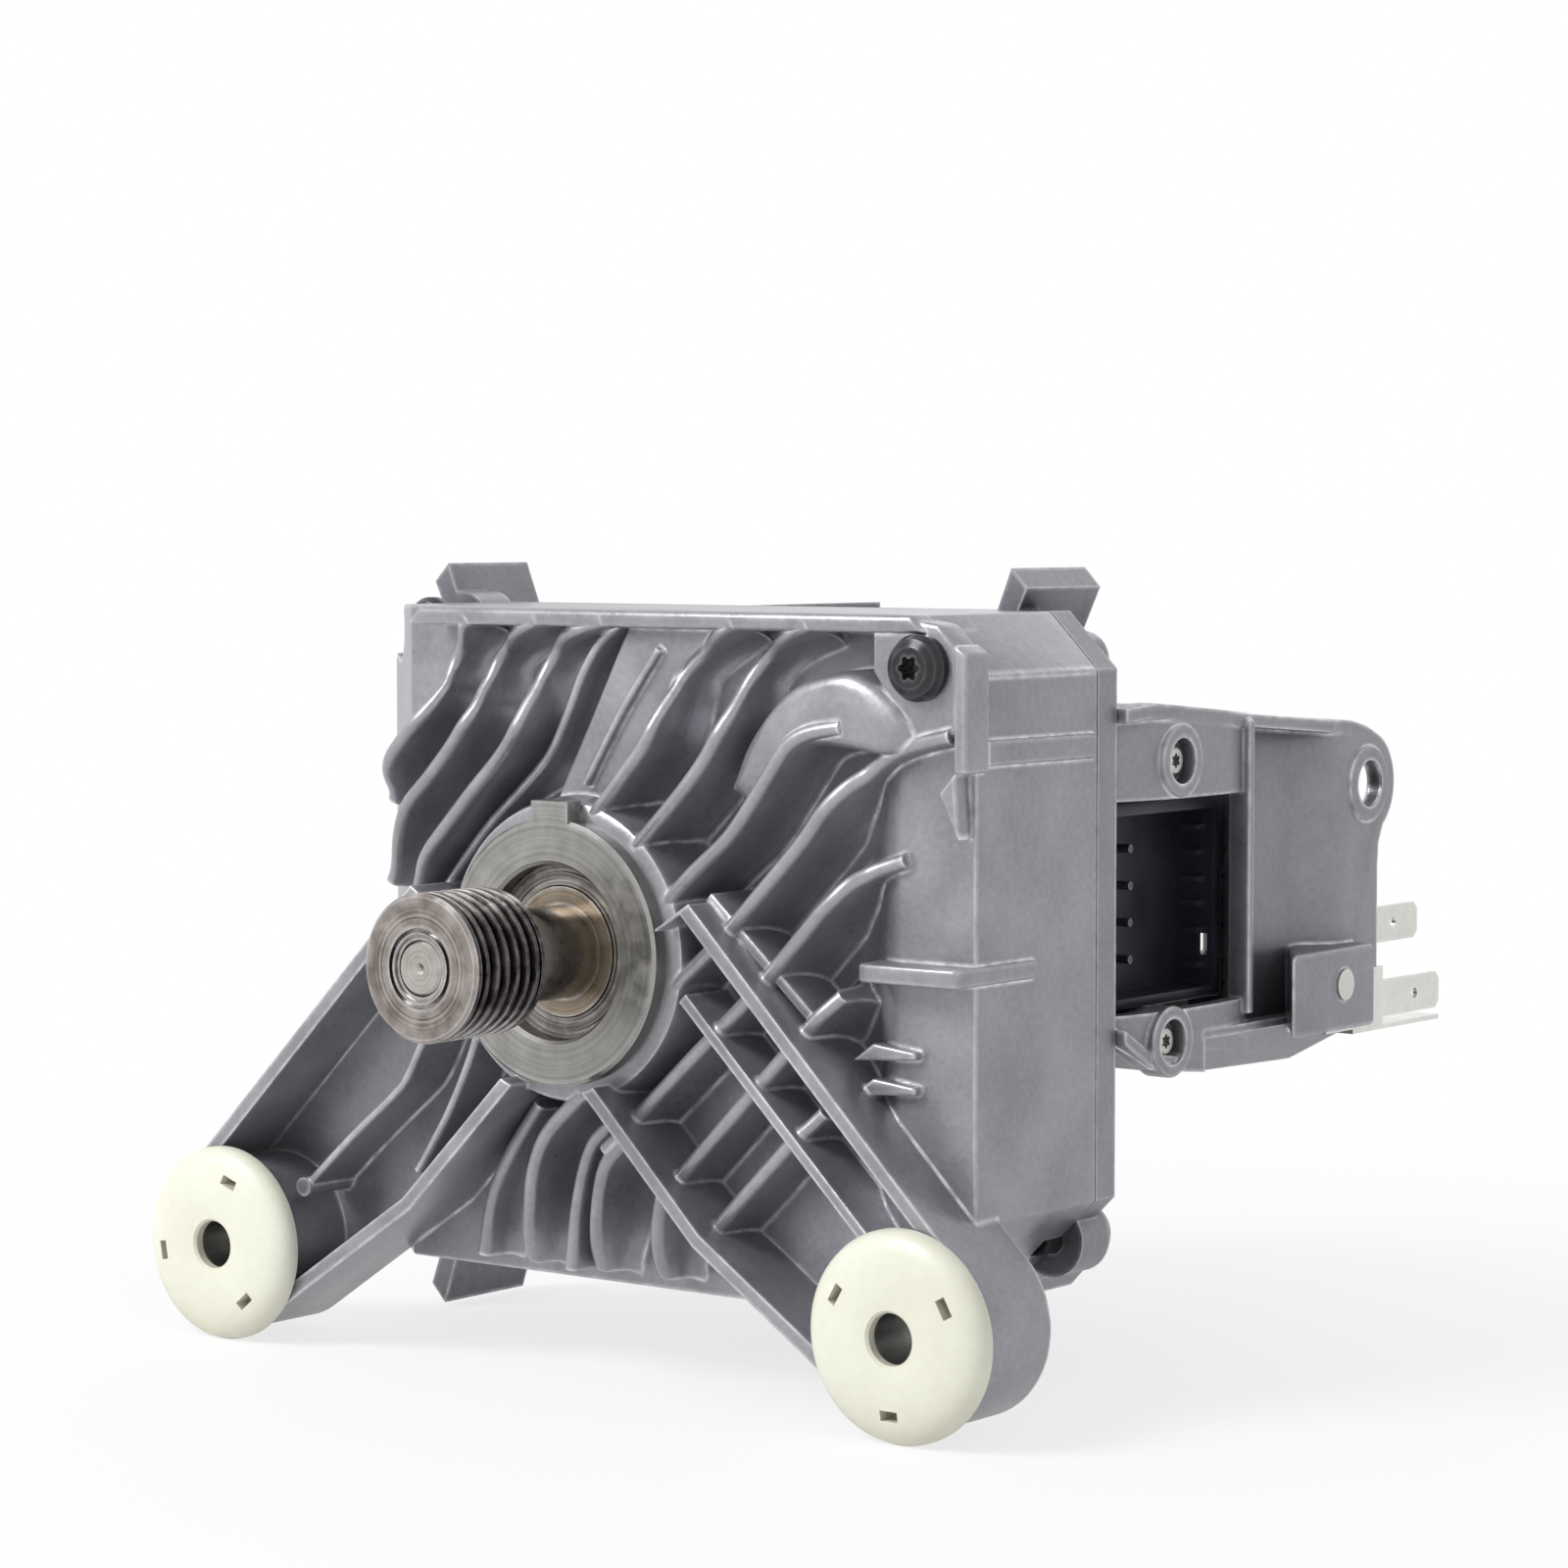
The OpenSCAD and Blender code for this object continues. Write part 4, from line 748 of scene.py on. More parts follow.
def lathed(name: str, profile: list[Flat], centre: Flat = (0, 0), steps: int = 96) -> bpy.types.Object:
    """Turns a closed profile round an axis that lies along the shaft's direction.

    Args:
        name: The piece's name.
        profile: Distance from the axis and Y of the profile's corners in millimetres.
        centre: X and Z of the axis.
        steps: Number of its sides.

    Returns:
        The closed piece.
    """
    x, z = centre
    piece = polygon_piece(name, [Vector((x + r, y, z)) for r, y in profile], "NOTHING")
    bpy.ops.mesh.spin(steps=steps, angle=math.tau, center=(x * MM, 0, z * MM), axis=(0, 1, 0))
    bpy.ops.mesh.select_all(action="SELECT")
    bpy.ops.mesh.remove_doubles(threshold=SEAM)
    return finish_edit(piece)


def extruded(name: str, ring: list[Flat], front: float, back: float) -> bpy.types.Object:
    """Extrudes an outline drawn in X and Z along the shaft.

    Args:
        name: The piece's name.
        ring: The outline's corners in millimetres.
        front: Y of the front face.
        back: Y of the back face.

    Returns:
        The closed piece.
    """
    return drawn_out(name, [Vector((x, front, z)) for x, z in ring], (0, back - front, 0))


def rising(name: str, ring: list[Flat], low: float, high: float) -> bpy.types.Object:
    """Extrudes a plan drawn in X and Y upwards.

    Args:
        name: The piece's name.
        ring: The plan's corners in millimetres.
        low: Z of the lower face.
        high: Z of the upper face.

    Returns:
        The closed piece.
    """
    return drawn_out(name, [Vector((x, y, low)) for x, y in ring], (0, 0, high - low))


def rounded(piece: bpy.types.Object, width: float, steps: int = 3, angle: float = 30.0) -> bpy.types.Object:
    """Rounds an object's sharp edges.

    Args:
        piece: The object.
        width: Width of the rounding in millimetres.
        steps: Number of segments.
        angle: Least angle of an edge that is rounded, in degrees.

    Returns:
        The same object.
    """
    apply_modifier(piece, "BEVEL", width=width * MM, segments=steps, limit_method="ANGLE",
                   angle_limit=math.radians(angle), use_clamp_overlap=True)
    return piece


def combined(piece: bpy.types.Object, tool: bpy.types.Object,
             operation: str = "DIFFERENCE") -> bpy.types.Object:
    """Cuts an object by a tool or joins it to the tool, which is then removed.

    Args:
        piece: The object.
        tool: The other closed object.
        operation: DIFFERENCE, INTERSECT or UNION.

    Returns:
        The same object.
    """
    apply_modifier(piece, "BOOLEAN", operation=operation, object=tool, solver="EXACT")
    bpy.data.objects.remove(tool, do_unlink=True)
    return piece


def rod(name: str, centre: Flat, radius: float, front: float, back: float,
        sides: int = 64) -> bpy.types.Object:
    """Makes a round bar along the shaft's direction.

    Args:
        name: The piece's name.
        centre: X and Z of its axis in millimetres.
        radius: Its radius.
        front: Y of its front end.
        back: Y of its back end.
        sides: Number of its sides.

    Returns:
        The closed piece.
    """
    return extruded(name, circle(centre, radius, sides), front, back)


def merged(name: str, pieces: list[bpy.types.Object], angle: float = 35.0) -> bpy.types.Object:
    """Joins pieces into one object with its origin at the frame's origin.

    Args:
        name: The new object's name.
        pieces: The objects to join.
        angle: Edges flatter than this are shaded smooth, in degrees.

    Returns:
        The joined object.
    """
    select_only(pieces[0])
    for piece in pieces[1:]:
        piece.select_set(True)
    if len(pieces) > 1:
        bpy.ops.object.join()
    whole = bpy.context.object
    whole.name = name
    whole.data.name = name
    bpy.ops.object.transform_apply(location=True, rotation=True, scale=True)
    bpy.ops.object.shade_smooth_by_angle(angle=math.radians(angle))
    return whole


def smooth_path(points: list[Flat], steps: int = 6) -> list[Vector]:
    """Draws a smooth curve through points.

    Args:
        points: X and Z of the points in millimetres.
        steps: Number of pieces between two points.

    Returns:
        Points on the curve, in two dimensions.
    """
    knots = [Vector(p) for p in points]
    knots = [2 * knots[0] - knots[1], *knots, 2 * knots[-1] - knots[-2]]
    path = []
    for a, b, c, d in zip(knots, knots[1:], knots[2:], knots[3:]):
        for k in range(steps):
            t = k / steps
            bend = (2 * a - 5 * b + 4 * c - d) * t * t + (3 * b - a - 3 * c + d) * t ** 3
            path.append(0.5 * (2 * b + (c - a) * t + bend))
    return [*path, knots[-2]]


def ease(t: float) -> float:
    """Blends smoothly from 0 to 1."""
    u = min(max(t, 0.0), 1.0)
    return u * u * (3 - 2 * u)


@dataclass
class Fin:
    """One cooling fin that follows a curve across the shield.

    path holds X and Z of its crest from the lower to the upper end. top and root are its
    thickness at the crest and at the web. drop_start and drop_end are how far the crest
    falls back at the ends, and front is its depth where it doesn't follow the shield's.
    """

    path: list[Flat]
    top: float = 2.5
    root: float = 8.0
    drop_start: float = 0.0
    drop_end: float = 0.0
    front: float | None = None


@dataclass
class FrontShield:
    """The die-cast front shield: shell, wiring bay, fins, hub, arms and small details.

    Sizes are in millimetres in the motor's frame, as in the construction. Names that end
    in _y are depths along the shaft and names that end in _r are radii. The pairs
    bay_fall, rim_fall, low_roll, side_roll and side_roll_top are where the fin crests
    start to leave their common depth, and over what length. flank holds how far down a
    fin's side is, as a share of its depth, and how far out, as a share of its flare.
    through is long enough for a cutter that passes through the whole shield.
    """

    half: float = 61.0
    right: float = 76.0
    top: float = 54.7
    bottom: float = 55.0
    chamfer: float = 10.0
    bay_top: float = 9.0
    bay_bottom: float = 17.0
    bay_y: float = 10.0
    web_y: float = 15.0
    joint_y: float = 43.0
    wall: float = 3.0
    crest_y: float = 3.2
    rim_y: float = 5.5
    hub_r: float = 24.5
    bore_r: float = 19.53
    stator_r: float = 50.05
    bush: Flat = BUSH_PLACE
    boss_r: float = 15.0
    boss_front: float = -1.0
    boss_back: float = 16.0
    bush_r: float = 11.5
    arm_wall: float = 2.4
    arm_lower: float = 10.2
    arm_bend: float = 29.8
    arm_length: float = 74.0
    arm_middle: float = 14.6
    screw_right: Flat = (68.3, 46.8)
    screw_left: Flat = (-56.5, 50.5)
    screws_low: tuple[Flat, ...] = ((-57.0, -50.5), (67.5, -45.0))
    lug_r: float = 6.0
    lug_y: float = 36.0
    head_r: float = 5.55
    shank_r: float = 2.3
    clip_beyond: float = 50.0
    flank: tuple[Flat, ...] = (
        (0.5, 0.06), (0.68, 0.16), (0.82, 0.34), (0.92, 0.6), (0.98, 0.85), (1.12, 1.0))
    shoulder_x: float = -43.0
    shoulder_y: float = 31.0
    shoulder_fall: float = 0.89
    bay_x: Flat = (52.0, 62.0)
    bay_curve: tuple[Flat, ...] = ((55.5, 13.6), (58.5, 11.3))
    room_x: Flat = (-41.0, 57.0)
    room_shoulder_y: float = 33.5
    edge_r: float = 1.2
    through: float = 60.0
    bay_fall: Flat = (34.5, 13.0)
    rim_fall: Flat = (47.5, 5.5)
    low_roll: Flat = (-37.0, 18.0)
    side_roll: Flat = (50.0, 9.0)
    side_roll_top: Flat = (40.0, 8.0)
    side_roll_most: float = 0.8
    pad: Flat = (11.0, 8.5)
    pad_place: Flat = (46.0, 44.0)
    pad_y: float = 30.0
    wedge_z: Flat = (-12.6, -18.0)
    tab_slot_z: Flat = (5.2, -5.0)
    bulge_middle: Flat = (50.5, 39.5)
    bulge_crown: tuple[Flat, ...] = ((9.0, 1.0), (7.0, 0.96), (5.9, 0.89), (5.3, 0.78), (5.0, 0.62))

    fins: list[Fin] = field(default_factory=lambda: [
        Fin([(-43.5, 22), (-41, 26.5), (-35.6, 32.6), (-31.3, 37.2), (-29.4, 41.2), (-29.2, 45.2),
             (-27.2, 49), (-22.7, 53)], drop_start=7),
        Fin([(-44, 8.4), (-40.2, 14.6), (-34.6, 21.9), (-29.1, 27.3), (-23.8, 33.1), (-20.8, 37.8),
             (-20.5, 42.1), (-19.4, 46.6), (-15.3, 50), (-7.8, 53)], drop_start=7),
        Fin([(-44, -3), (-36.2, 7.3), (-31.2, 13.1), (-25.7, 19), (-19.8, 25.1), (-14, 30.8), (-10.6, 35.6),
             (-9.6, 40.3), (-8.8, 45.4), (-4.7, 49.9), (6, 53)], drop_start=7),
        Fin([(-33, 5), (-29.6, 9.2), (-24.6, 15), (-19.7, 20.1), (-13.4, 25.5), (-7.6, 31.2), (-3.8, 37.8),
             (-0.5, 44.5), (3.2, 49.6), (8, 53)], top=1.6, front=8.6),
        Fin([(-44, -13), (-35, -4), (-28, 4)], drop_start=7, drop_end=3),
        Fin([(5.9, 22.2), (11.4, 28.2), (16.6, 34.4), (18.8, 41.2), (20.3, 45.6), (26, 49.9), (32.3, 53)]),
        Fin([(14.4, 17.3), (24.6, 27.4), (29.6, 33.6), (32, 38.7), (33.4, 44.8), (38.6, 49.6), (46.8, 53)]),
        Fin([(19, 7), (25.1, 13.1), (32.8, 19.5), (38, 25.8), (41.4, 30.4), (44.6, 34.4), (48.4, 36.4),
             (54, 37.4)]),
        Fin([(18, -8.6), (20.8, -5.7), (31.2, 3.4), (39.8, 11.8), (47.3, 19.5), (51.6, 24.8), (56, 29.2),
             (61.2, 32.8), (67, 35), (74, 36.6)]),
        Fin([(8, -31.5), (13, -27.1), (25.8, -15.4), (37.9, -4.5), (46.3, 4), (52.6, 10.6), (57, 14.8),
             (63.4, 17.2)], drop_end=1.5),
        Fin([(22.5, -35.3), (36, -21.8), (47.4, -10.4), (54, -3.8)], drop_end=1),
        Fin([(30.5, -42), (40, -32.6), (50.5, -22.2)], drop_end=2),
        Fin([(-11.6, -52), (-8.6, -43), (-6.8, -35), (-3.8, -29.4), (3.4, -22.8)]),
        Fin([(-1, -52), (0.4, -41), (3.2, -32), (8, -27.2)], front=5.4),
        Fin([(3, -52), (5.8, -42), (8, -34), (12, -29.6)]),
        Fin([(16.2, -52), (17.6, -45), (19.6, -38)]),
        Fin([(-22, -52), (-20, -42), (-15.6, -34), (-9.6, -26)], front=8.0),
    ])

    def crest(self, x: float, z: float) -> float:
        """Gives the depth of the fin crests.

        Args:
            x: Place across the shield.
            z: Height above the shaft.

        Returns:
            Y of the crest.
        """
        def past(value: float, limits: Flat) -> float:
            """Gives how far a value is past a start, as a share of a length."""
            return (value - limits[0]) / limits[1]

        if z > 0:
            y = self.crest_y + (self.bay_y - self.crest_y) * ease(past(z, self.bay_fall))
            if z > self.rim_fall[0]:
                y = self.bay_y - (self.bay_y - self.rim_y) * ease(past(z, self.rim_fall))
        else:
            fall = min(max(-past(z, self.low_roll), 0.0), 1.0)
            y = self.crest_y + (self.web_y + 0.5 - self.crest_y) * (1 - math.sqrt(1 - fall * fall))
        if x > self.side_roll[0]:
            roll = min(past(x, self.side_roll), self.side_roll_most)
            y += self.side_roll[1] * (1 - math.sqrt(1 - roll * roll)) * ease(-past(z, self.side_roll_top))
        return y

    def trimmed(self, piece: bpy.types.Object, inset: float = 0.0) -> bpy.types.Object:
        """Cuts away what of a piece lies outside the shield's outline.

        Args:
            piece: The piece.
            inset: How far the outline is set in.

        Returns:
            The same piece.
        """
        return combined(piece, extruded("trim_outline", self.outline(inset), 0, self.through), "INTERSECT")

    def fin(self, number: int, fin: Fin) -> bpy.types.Object:
        """Sweeps one fin with a rounded crest along its path.

        Args:
            number: The fin's number, for its name.
            fin: Its path and thickness.

        Returns:
            The fin's object.
        """
        path = smooth_path(fin.path)
        arch = [(math.cos(math.pi * k / 8), math.sin(math.pi * k / 8)) for k in range(9)]

        def section(k: int) -> list[Vector]:
            """Draws the fin's section across its path.

            Args:
                k: Number of the path's point.

            Returns:
                The section's corners.
            """
            here = path[k]
            along = (path[min(k + 1, len(path) - 1)] - path[max(k - 1, 0)]).normalized()
            share = k / (len(path) - 1)
            front = fin.front if fin.front is not None else self.crest(here.x, here.y)
            front += fin.drop_start * ease(1 - share * 4) + fin.drop_end * ease(share * 4 - 3)
            half = fin.top / 2
            depth, flare = self.web_y - front, fin.root / 2 - half
            flank = [(half + flare * out, front + depth * down) for down, out in self.flank]
            ring = [(half * a, front + half * (1 - b)) for a, b in arch]
            ring += [(-a, y) for a, y in flank] + [(a, y) for a, y in reversed(flank)]
            places = [(here.x + along.y * a, y, here.y - along.x * a) for a, y in ring]
            corners = []
            for x, y, z in places:
                fall = max(self.shoulder_x - x, 0) * self.shoulder_fall if y > self.web_y else 0
                corners.append(Vector((x, y + fall, z)))
            return corners

        piece = stacked(f"fin_{number}", [section(k) for k in range(len(path))])
        reaches_rim = max(abs(p[1]) for p in fin.path) > self.clip_beyond
        return self.trimmed(piece, 0.5) if reaches_rim else piece

    def outline(self, inset: float = 0.0) -> list[Flat]:
        """Gives the shield's outline.

        Args:
            inset: How far it is set in.

        Returns:
            Its corners in X and Z.
        """
        slope = inset * (2 - math.sqrt(2))
        left, right, top, low = -self.half + inset, self.right - inset, self.top - inset, -self.bottom + inset
        corner, bay_top, bay_low = self.chamfer - slope, self.bay_top - slope, self.bay_bottom - slope
        return [(left + corner, top), (right - bay_top, top), (right, top - bay_top), (right, low + bay_low),
                (right - bay_low, low), (left + corner, low), (left, low + corner), (left, top - corner)]

    def shell(self) -> bpy.types.Object:
        """Builds the web and the skirt, open at the back, with the sloped left shoulder.

        Returns:
            The shell's object.
        """
        web, bay, back, through = self.web_y, self.bay_y, self.joint_y, self.through
        plan = [(self.shoulder_x, web), (self.bay_x[0], web), *self.bay_curve, (self.bay_x[1], bay),
                (self.right, bay), (self.right, back), (-self.half, back), (-self.half, self.shoulder_y)]
        shell = rising("shield_shell", plan, -self.bottom - 1, self.top + 1)
        rounded(self.trimmed(shell), self.edge_r, 4)
        left, step = self.room_x
        web_back, bay_back, right = web + self.wall, bay + self.wall, self.right + 1
        inner = [(left, web_back), (step, web_back), (step, bay_back), (right, bay_back), (right, back + 1),
                 (-self.half - 1, back + 1), (-self.half - 1, self.room_shoulder_y)]
        room = rising("shell_room", inner, -self.bottom - 1, self.top + 1)
        combined(shell, self.trimmed(room, self.wall))
        combined(shell, rod("hub_hole", (0, 0), self.bore_r + 2, 0, through / 2))
        studs = [(place, self.lug_r, self.lug_y) for place in (self.screw_left, *self.screws_low)]
        studs += [(self.screw_right, self.shank_r + 2.4, bay + 1),
                  (self.screw_left, self.head_r + 2, web + 2)]
        for place, radius, front in studs:
            stud = self.trimmed(rod("stud", place, radius, front, back - 0.1), 0.4)
            near_plan = rising("stud_plan", [(x, y + 0.4) for x, y in plan], -through, through)
            combined(shell, combined(stud, near_plan, "INTERSECT"), "UNION")
        combined(shell, rod("screw_recess", self.screw_left, self.head_r, 0, self.lug_y))
        holes = [(self.screw_left, 0), (self.screw_right, 0)]
        holes += [(place, self.lug_y + 2) for place in self.screws_low]
        for place, front in holes:
            combined(shell, rod("screw_hole", place, self.shank_r, front, through))
        return shell

    def stator_pads(self) -> list[bpy.types.Object]:
        """Builds the four pads inside the corners that hold the stator.

        Returns:
            The pads.
        """
        pads = []
        wide, high = self.pad
        for x, z in ((i * self.pad_place[0], j * self.pad_place[1]) for j in (1, -1) for i in (-1, 1)):
            corners = [(x - wide, z - high), (x + wide, z - high), (x + wide, z + high), (x - wide, z + high)]
            pad = self.trimmed(extruded("stator_pad", corners, self.pad_y, self.joint_y), self.wall / 2)
            pads.append(combined(pad, rod("pad_bore", (0, 0), self.stator_r, 0, self.through, 96)))
        return pads

    def hub(self) -> bpy.types.Object:
        """Builds the round hub that carries the bearing sleeve.

        Returns:
            The hub's object.
        """
        bore, outer, front, web = self.bore_r, self.hub_r, self.crest_y, self.web_y
        foot, back = outer + 3.0, web + self.wall
        return lathed("hub", [
            (bore, front), (outer - 1.6, front), (outer - 0.5, front + 0.5), (outer, front + 1.7),
            (outer + 0.8, web - 2.5), (foot, web + 0.6), (foot, back), (bore, back)])

    def rim_and_panel(self) -> list[bpy.types.Object]:
        """Builds the top rim and the smooth raised panel between two fins.

        Returns:
            The pieces.
        """
        rim = [(-36, 51.9), (69.6, 51.9), (66.8, self.top + 0.08), (-33, self.top + 0.08)]
        panel = [(-6.6, 22.4), (-5.4, 25.4), (1.4, 37.9), (7.7, 50), (9.5, 53), (29, 53), (20.6, 46.5),
                 (17.6, 38.6), (10.6, 27.7), (6.4, 22.4)]
        low, high = self.bore_r - 2, self.bore_r + 2.8
        tab = [(-3.8, low), (3.8, low), (3.8, high), (-3.8, high)]
        rib = self.fin(99, Fin([(1, 26.7), (8.1, 37.9), (16.2, 48.7)], top=1.3, root=2.0, front=7.4))
        return [rounded(extruded("top_rim", rim, self.rim_y, self.web_y + 5), 0.9), rib,
                rounded(extruded("panel", panel, 8.9, self.web_y + 1), 0.9),
                extruded("key_tab", tab, self.crest_y + 0.02, self.crest_y + 2)]

    def bay_details(self) -> list[bpy.types.Object]:
        """Builds what stands on the wiring bay's front face.

        Returns:
            The pieces.
        """
        bulge = smooth_path([
            (31, 26.6), (34.6, 34.1), (40.6, 41), (46.7, 44.6), (55.8, 46), (63.6, 42), (68.4, 36), (64, 33),
            (54, 34), (47, 34), (42, 30), (36, 24.4), (31, 26.6)], 5)[:-1]
        plate = [(59, 54), (67, 54), (71.4, 53.4), (74.9, 49.9), (75.3, 46), (75.4, 36.8), (67.3, 35.2),
                 (59, 46)]
        strip = [(74.8, 31), (77, 31), (77, 49), (74.8, 50.5)]
        gusset = [(71.6, 27.9), (74.6, 31.2), (75.2, 20.8)]
        tab = [(57, self.bay_y + 1), (58, 4.4), (60, 3.9), (self.right, 3.9), (76.8, 4.6), (76.8, 25),
               (75, 26)]
        corner = rounded(extruded("corner_plate", plate, 6.4, self.bay_y + 2), 0.8)
        combined(corner, rod("plate_hole", self.screw_right, self.shank_r, 0, self.through / 2))
        ledge = rising("tab", tab, -1.3, 1.6)
        for z in self.tab_slot_z:
            combined(ledge, rod("tab_slot", (self.right + 0.5, z), 0.1, 0, self.through / 2, 12))
        wedges = []
        for z in self.wedge_z:
            wedge = [(54, z - 1.4), (58, z + 1.6), (66, z + 0.7), (66, z - 0.6)]
            wedges.append(rounded(extruded("wedge", wedge, self.bay_y - 2, self.bay_y + 1), 0.5))
        return [self.dome(bulge), corner, rounded(ledge, 0.6),
                rounded(extruded("side_strip", strip, 5.5, self.bay_y + 2), 0.5),
                rounded(extruded("gusset", gusset, 6.2, self.bay_y + 2), 0.4), *wedges]

    def dome(self, ring: list[Vector]) -> bpy.types.Object:
        """Builds the bulge over the bay's wiring with a crowned front.

        Args:
            ring: Its outline in X and Z.

        Returns:
            The bulge.
        """
        middle = Vector(self.bulge_middle)
        layers = []
        for y, size in ((self.web_y + 1, 1.02), *self.bulge_crown):
            corners = [middle + size * (p - middle) for p in ring]
            layers.append([Vector((c.x, y, c.y)) for c in corners])
        return stacked("bulge", layers)

    def side_bands(self) -> list[bpy.types.Object]:
        """Builds the ledge and the fine line that run along the right side.

        Returns:
            The two strips.
        """
        x = self.right
        ledge = [(x - 1.5, 11.6), (x + 0.5, 11.6), (x + 0.9, 12.4), (x + 0.9, 41.5), (x - 1.5, 42.5)]
        line = [(x - 0.8, 12.5), (x + 0.25, 12.5), (x + 0.25, 42.4), (x - 0.8, 42.4)]
        return [rounded(rising("side_ledge", ledge, 31.9, 35.8), 0.5, 3),
                rising("side_line", line, 45.3, 45.9)]

    def arm_outline(self, inset: float = 0.0) -> list[Flat]:
        """Gives the right arm's outline, set in by inset.

        Args:
            inset: How far it is set in.

        Returns:
            Its corners, from the outer wall round to the boss.
        """
        middle = Vector(self.bush)
        out = Vector((1, 1)).normalized()
        along = Vector((1, -1)).normalized()
        radius = self.boss_r - inset
        bend = Vector((self.arm_bend + 0.55 * inset,
                       -self.arm_bend - self.arm_lower * math.sqrt(2) + 0.83 * inset))
        reach = bend - middle
        low = math.atan2(reach.y, reach.x) + math.acos(radius / reach.length) - math.tau
        high = math.pi / 4
        arc = [low + (high - low) * k / 40 for k in range(41)]
        corners = [middle + radius * out - self.arm_length * along,
                   -self.arm_lower * out + 6 * along + inset * out, bend]
        corners += [middle + radius * Vector((math.cos(a), math.sin(a))) for a in arc]
        return [(c.x, c.y) for c in corners]

    def band(self, start: Flat, end: Flat, half: float) -> list[Flat]:
        """Gives a straight strip's four corners.

        Args:
            start: Where its middle starts, as distances along and across the arm.
            end: Where its middle ends.
            half: Half of its width.

        Returns:
            Its corners in X and Z.
        """
        way = (Vector(end) - Vector(start)).normalized() * half
        corners = [(start[0] - way.y, start[1] + way.x), (end[0] - way.y, end[1] + way.x),
                   (end[0] + way.y, end[1] - way.x), (start[0] + way.y, start[1] - way.x)]
        return [((a + n) / math.sqrt(2), (n - a) / math.sqrt(2)) for a, n in corners]

    def arm(self, side: Side) -> bpy.types.Object:
        """Builds one mounting arm: a walled channel that ends in a boss for a bush.

        Args:
            side: Which arm.

        Returns:
            The arm.
        """
        floor, before, beyond = self.boss_back - self.wall, self.boss_front - 8, self.boss_back + 14
        arm = extruded("arm", self.arm_outline(), self.boss_front, self.boss_back)
        combined(arm, extruded("arm_room", self.arm_outline(self.arm_wall), self.boss_front - 2, floor))
        boss = rod("arm_boss", self.bush, self.bush_r + self.arm_wall, self.boss_front, floor + 1)
        combined(arm, boss, "UNION")
        if side is Side.RIGHT:
            middle = self.band((22, self.arm_middle - 0.8), (76, self.arm_middle), 0.9)
            combined(arm, extruded("arm_rib", middle, 2.2, floor + 1), "UNION")
        combined(arm, rod("bush_bore", self.bush, self.bush_r, before, beyond))
        combined(arm, rod("hub_room", (0, 0), self.hub_r - 1.5, before, beyond))
        if side is Side.LEFT:
            select_only(arm)
            bpy.ops.transform.mirror(constraint_axis=(True, False, False), center_override=(0, 0, 0))
            bpy.ops.object.transform_apply(location=True, rotation=True, scale=True)
            bpy.ops.object.mode_set(mode="EDIT")
            finish_edit(arm)
        return rounded(arm, 0.85, 3)

    def left_arm_ribs(self) -> list[bpy.types.Object]:
        """Builds the two curved ribs in the left arm, one with a round ejector pad.

        Returns:
            The ribs and the pad.
        """
        long = Fin([(-29, -14), (-30.4, -17.1), (-33.7, -23), (-37, -26.4), (-46.4, -34.1), (-57.5, -44)],
                   top=1.5, root=2.4, front=2.6, drop_start=1)
        short = Fin([(-18.6, -13), (-19.8, -17.2), (-23.1, -24.2), (-27.3, -31.4), (-33, -38.6)],
                    top=1.5, root=2.4, front=3.4, drop_end=1)
        pad = rod("rib_pad", (-56.6, -43.2), 1.6, 2.3, self.web_y)
        return [self.fin(100, long), self.fin(101, short), pad]

    def arm_step(self) -> bpy.types.Object:
        """Builds the low rib beside the right arm's outer wall."""
        step = self.band((13, 27.4), (40, 29.2), 0.9)
        return rounded(extruded("arm_step", step, 4.6, self.web_y + 1), 0.4, 2)

    def build(self, paint: Paintshop) -> bpy.types.Object:
        """Builds and dresses the whole shield.

        Args:
            paint: The maker of materials.

        Returns:
            The shield.
        """
        pieces = [self.shell(), *self.stator_pads(), self.hub(), *self.rim_and_panel(), *self.bay_details()]
        pieces += [self.arm(side) for side in Side]
        pieces += [self.arm_step(), *self.left_arm_ribs(), *self.side_bands()]
        pieces += [self.fin(k, fin) for k, fin in enumerate(self.fins)]
        shield = merged("cast_front_shield", pieces)
        paint.dress(shield, CAST)
        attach(shield, "casing_body")
        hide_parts("front_shield")
        LOG.info("built %s with %d faces", shield.name, len(shield.data.polygons))
        return shield


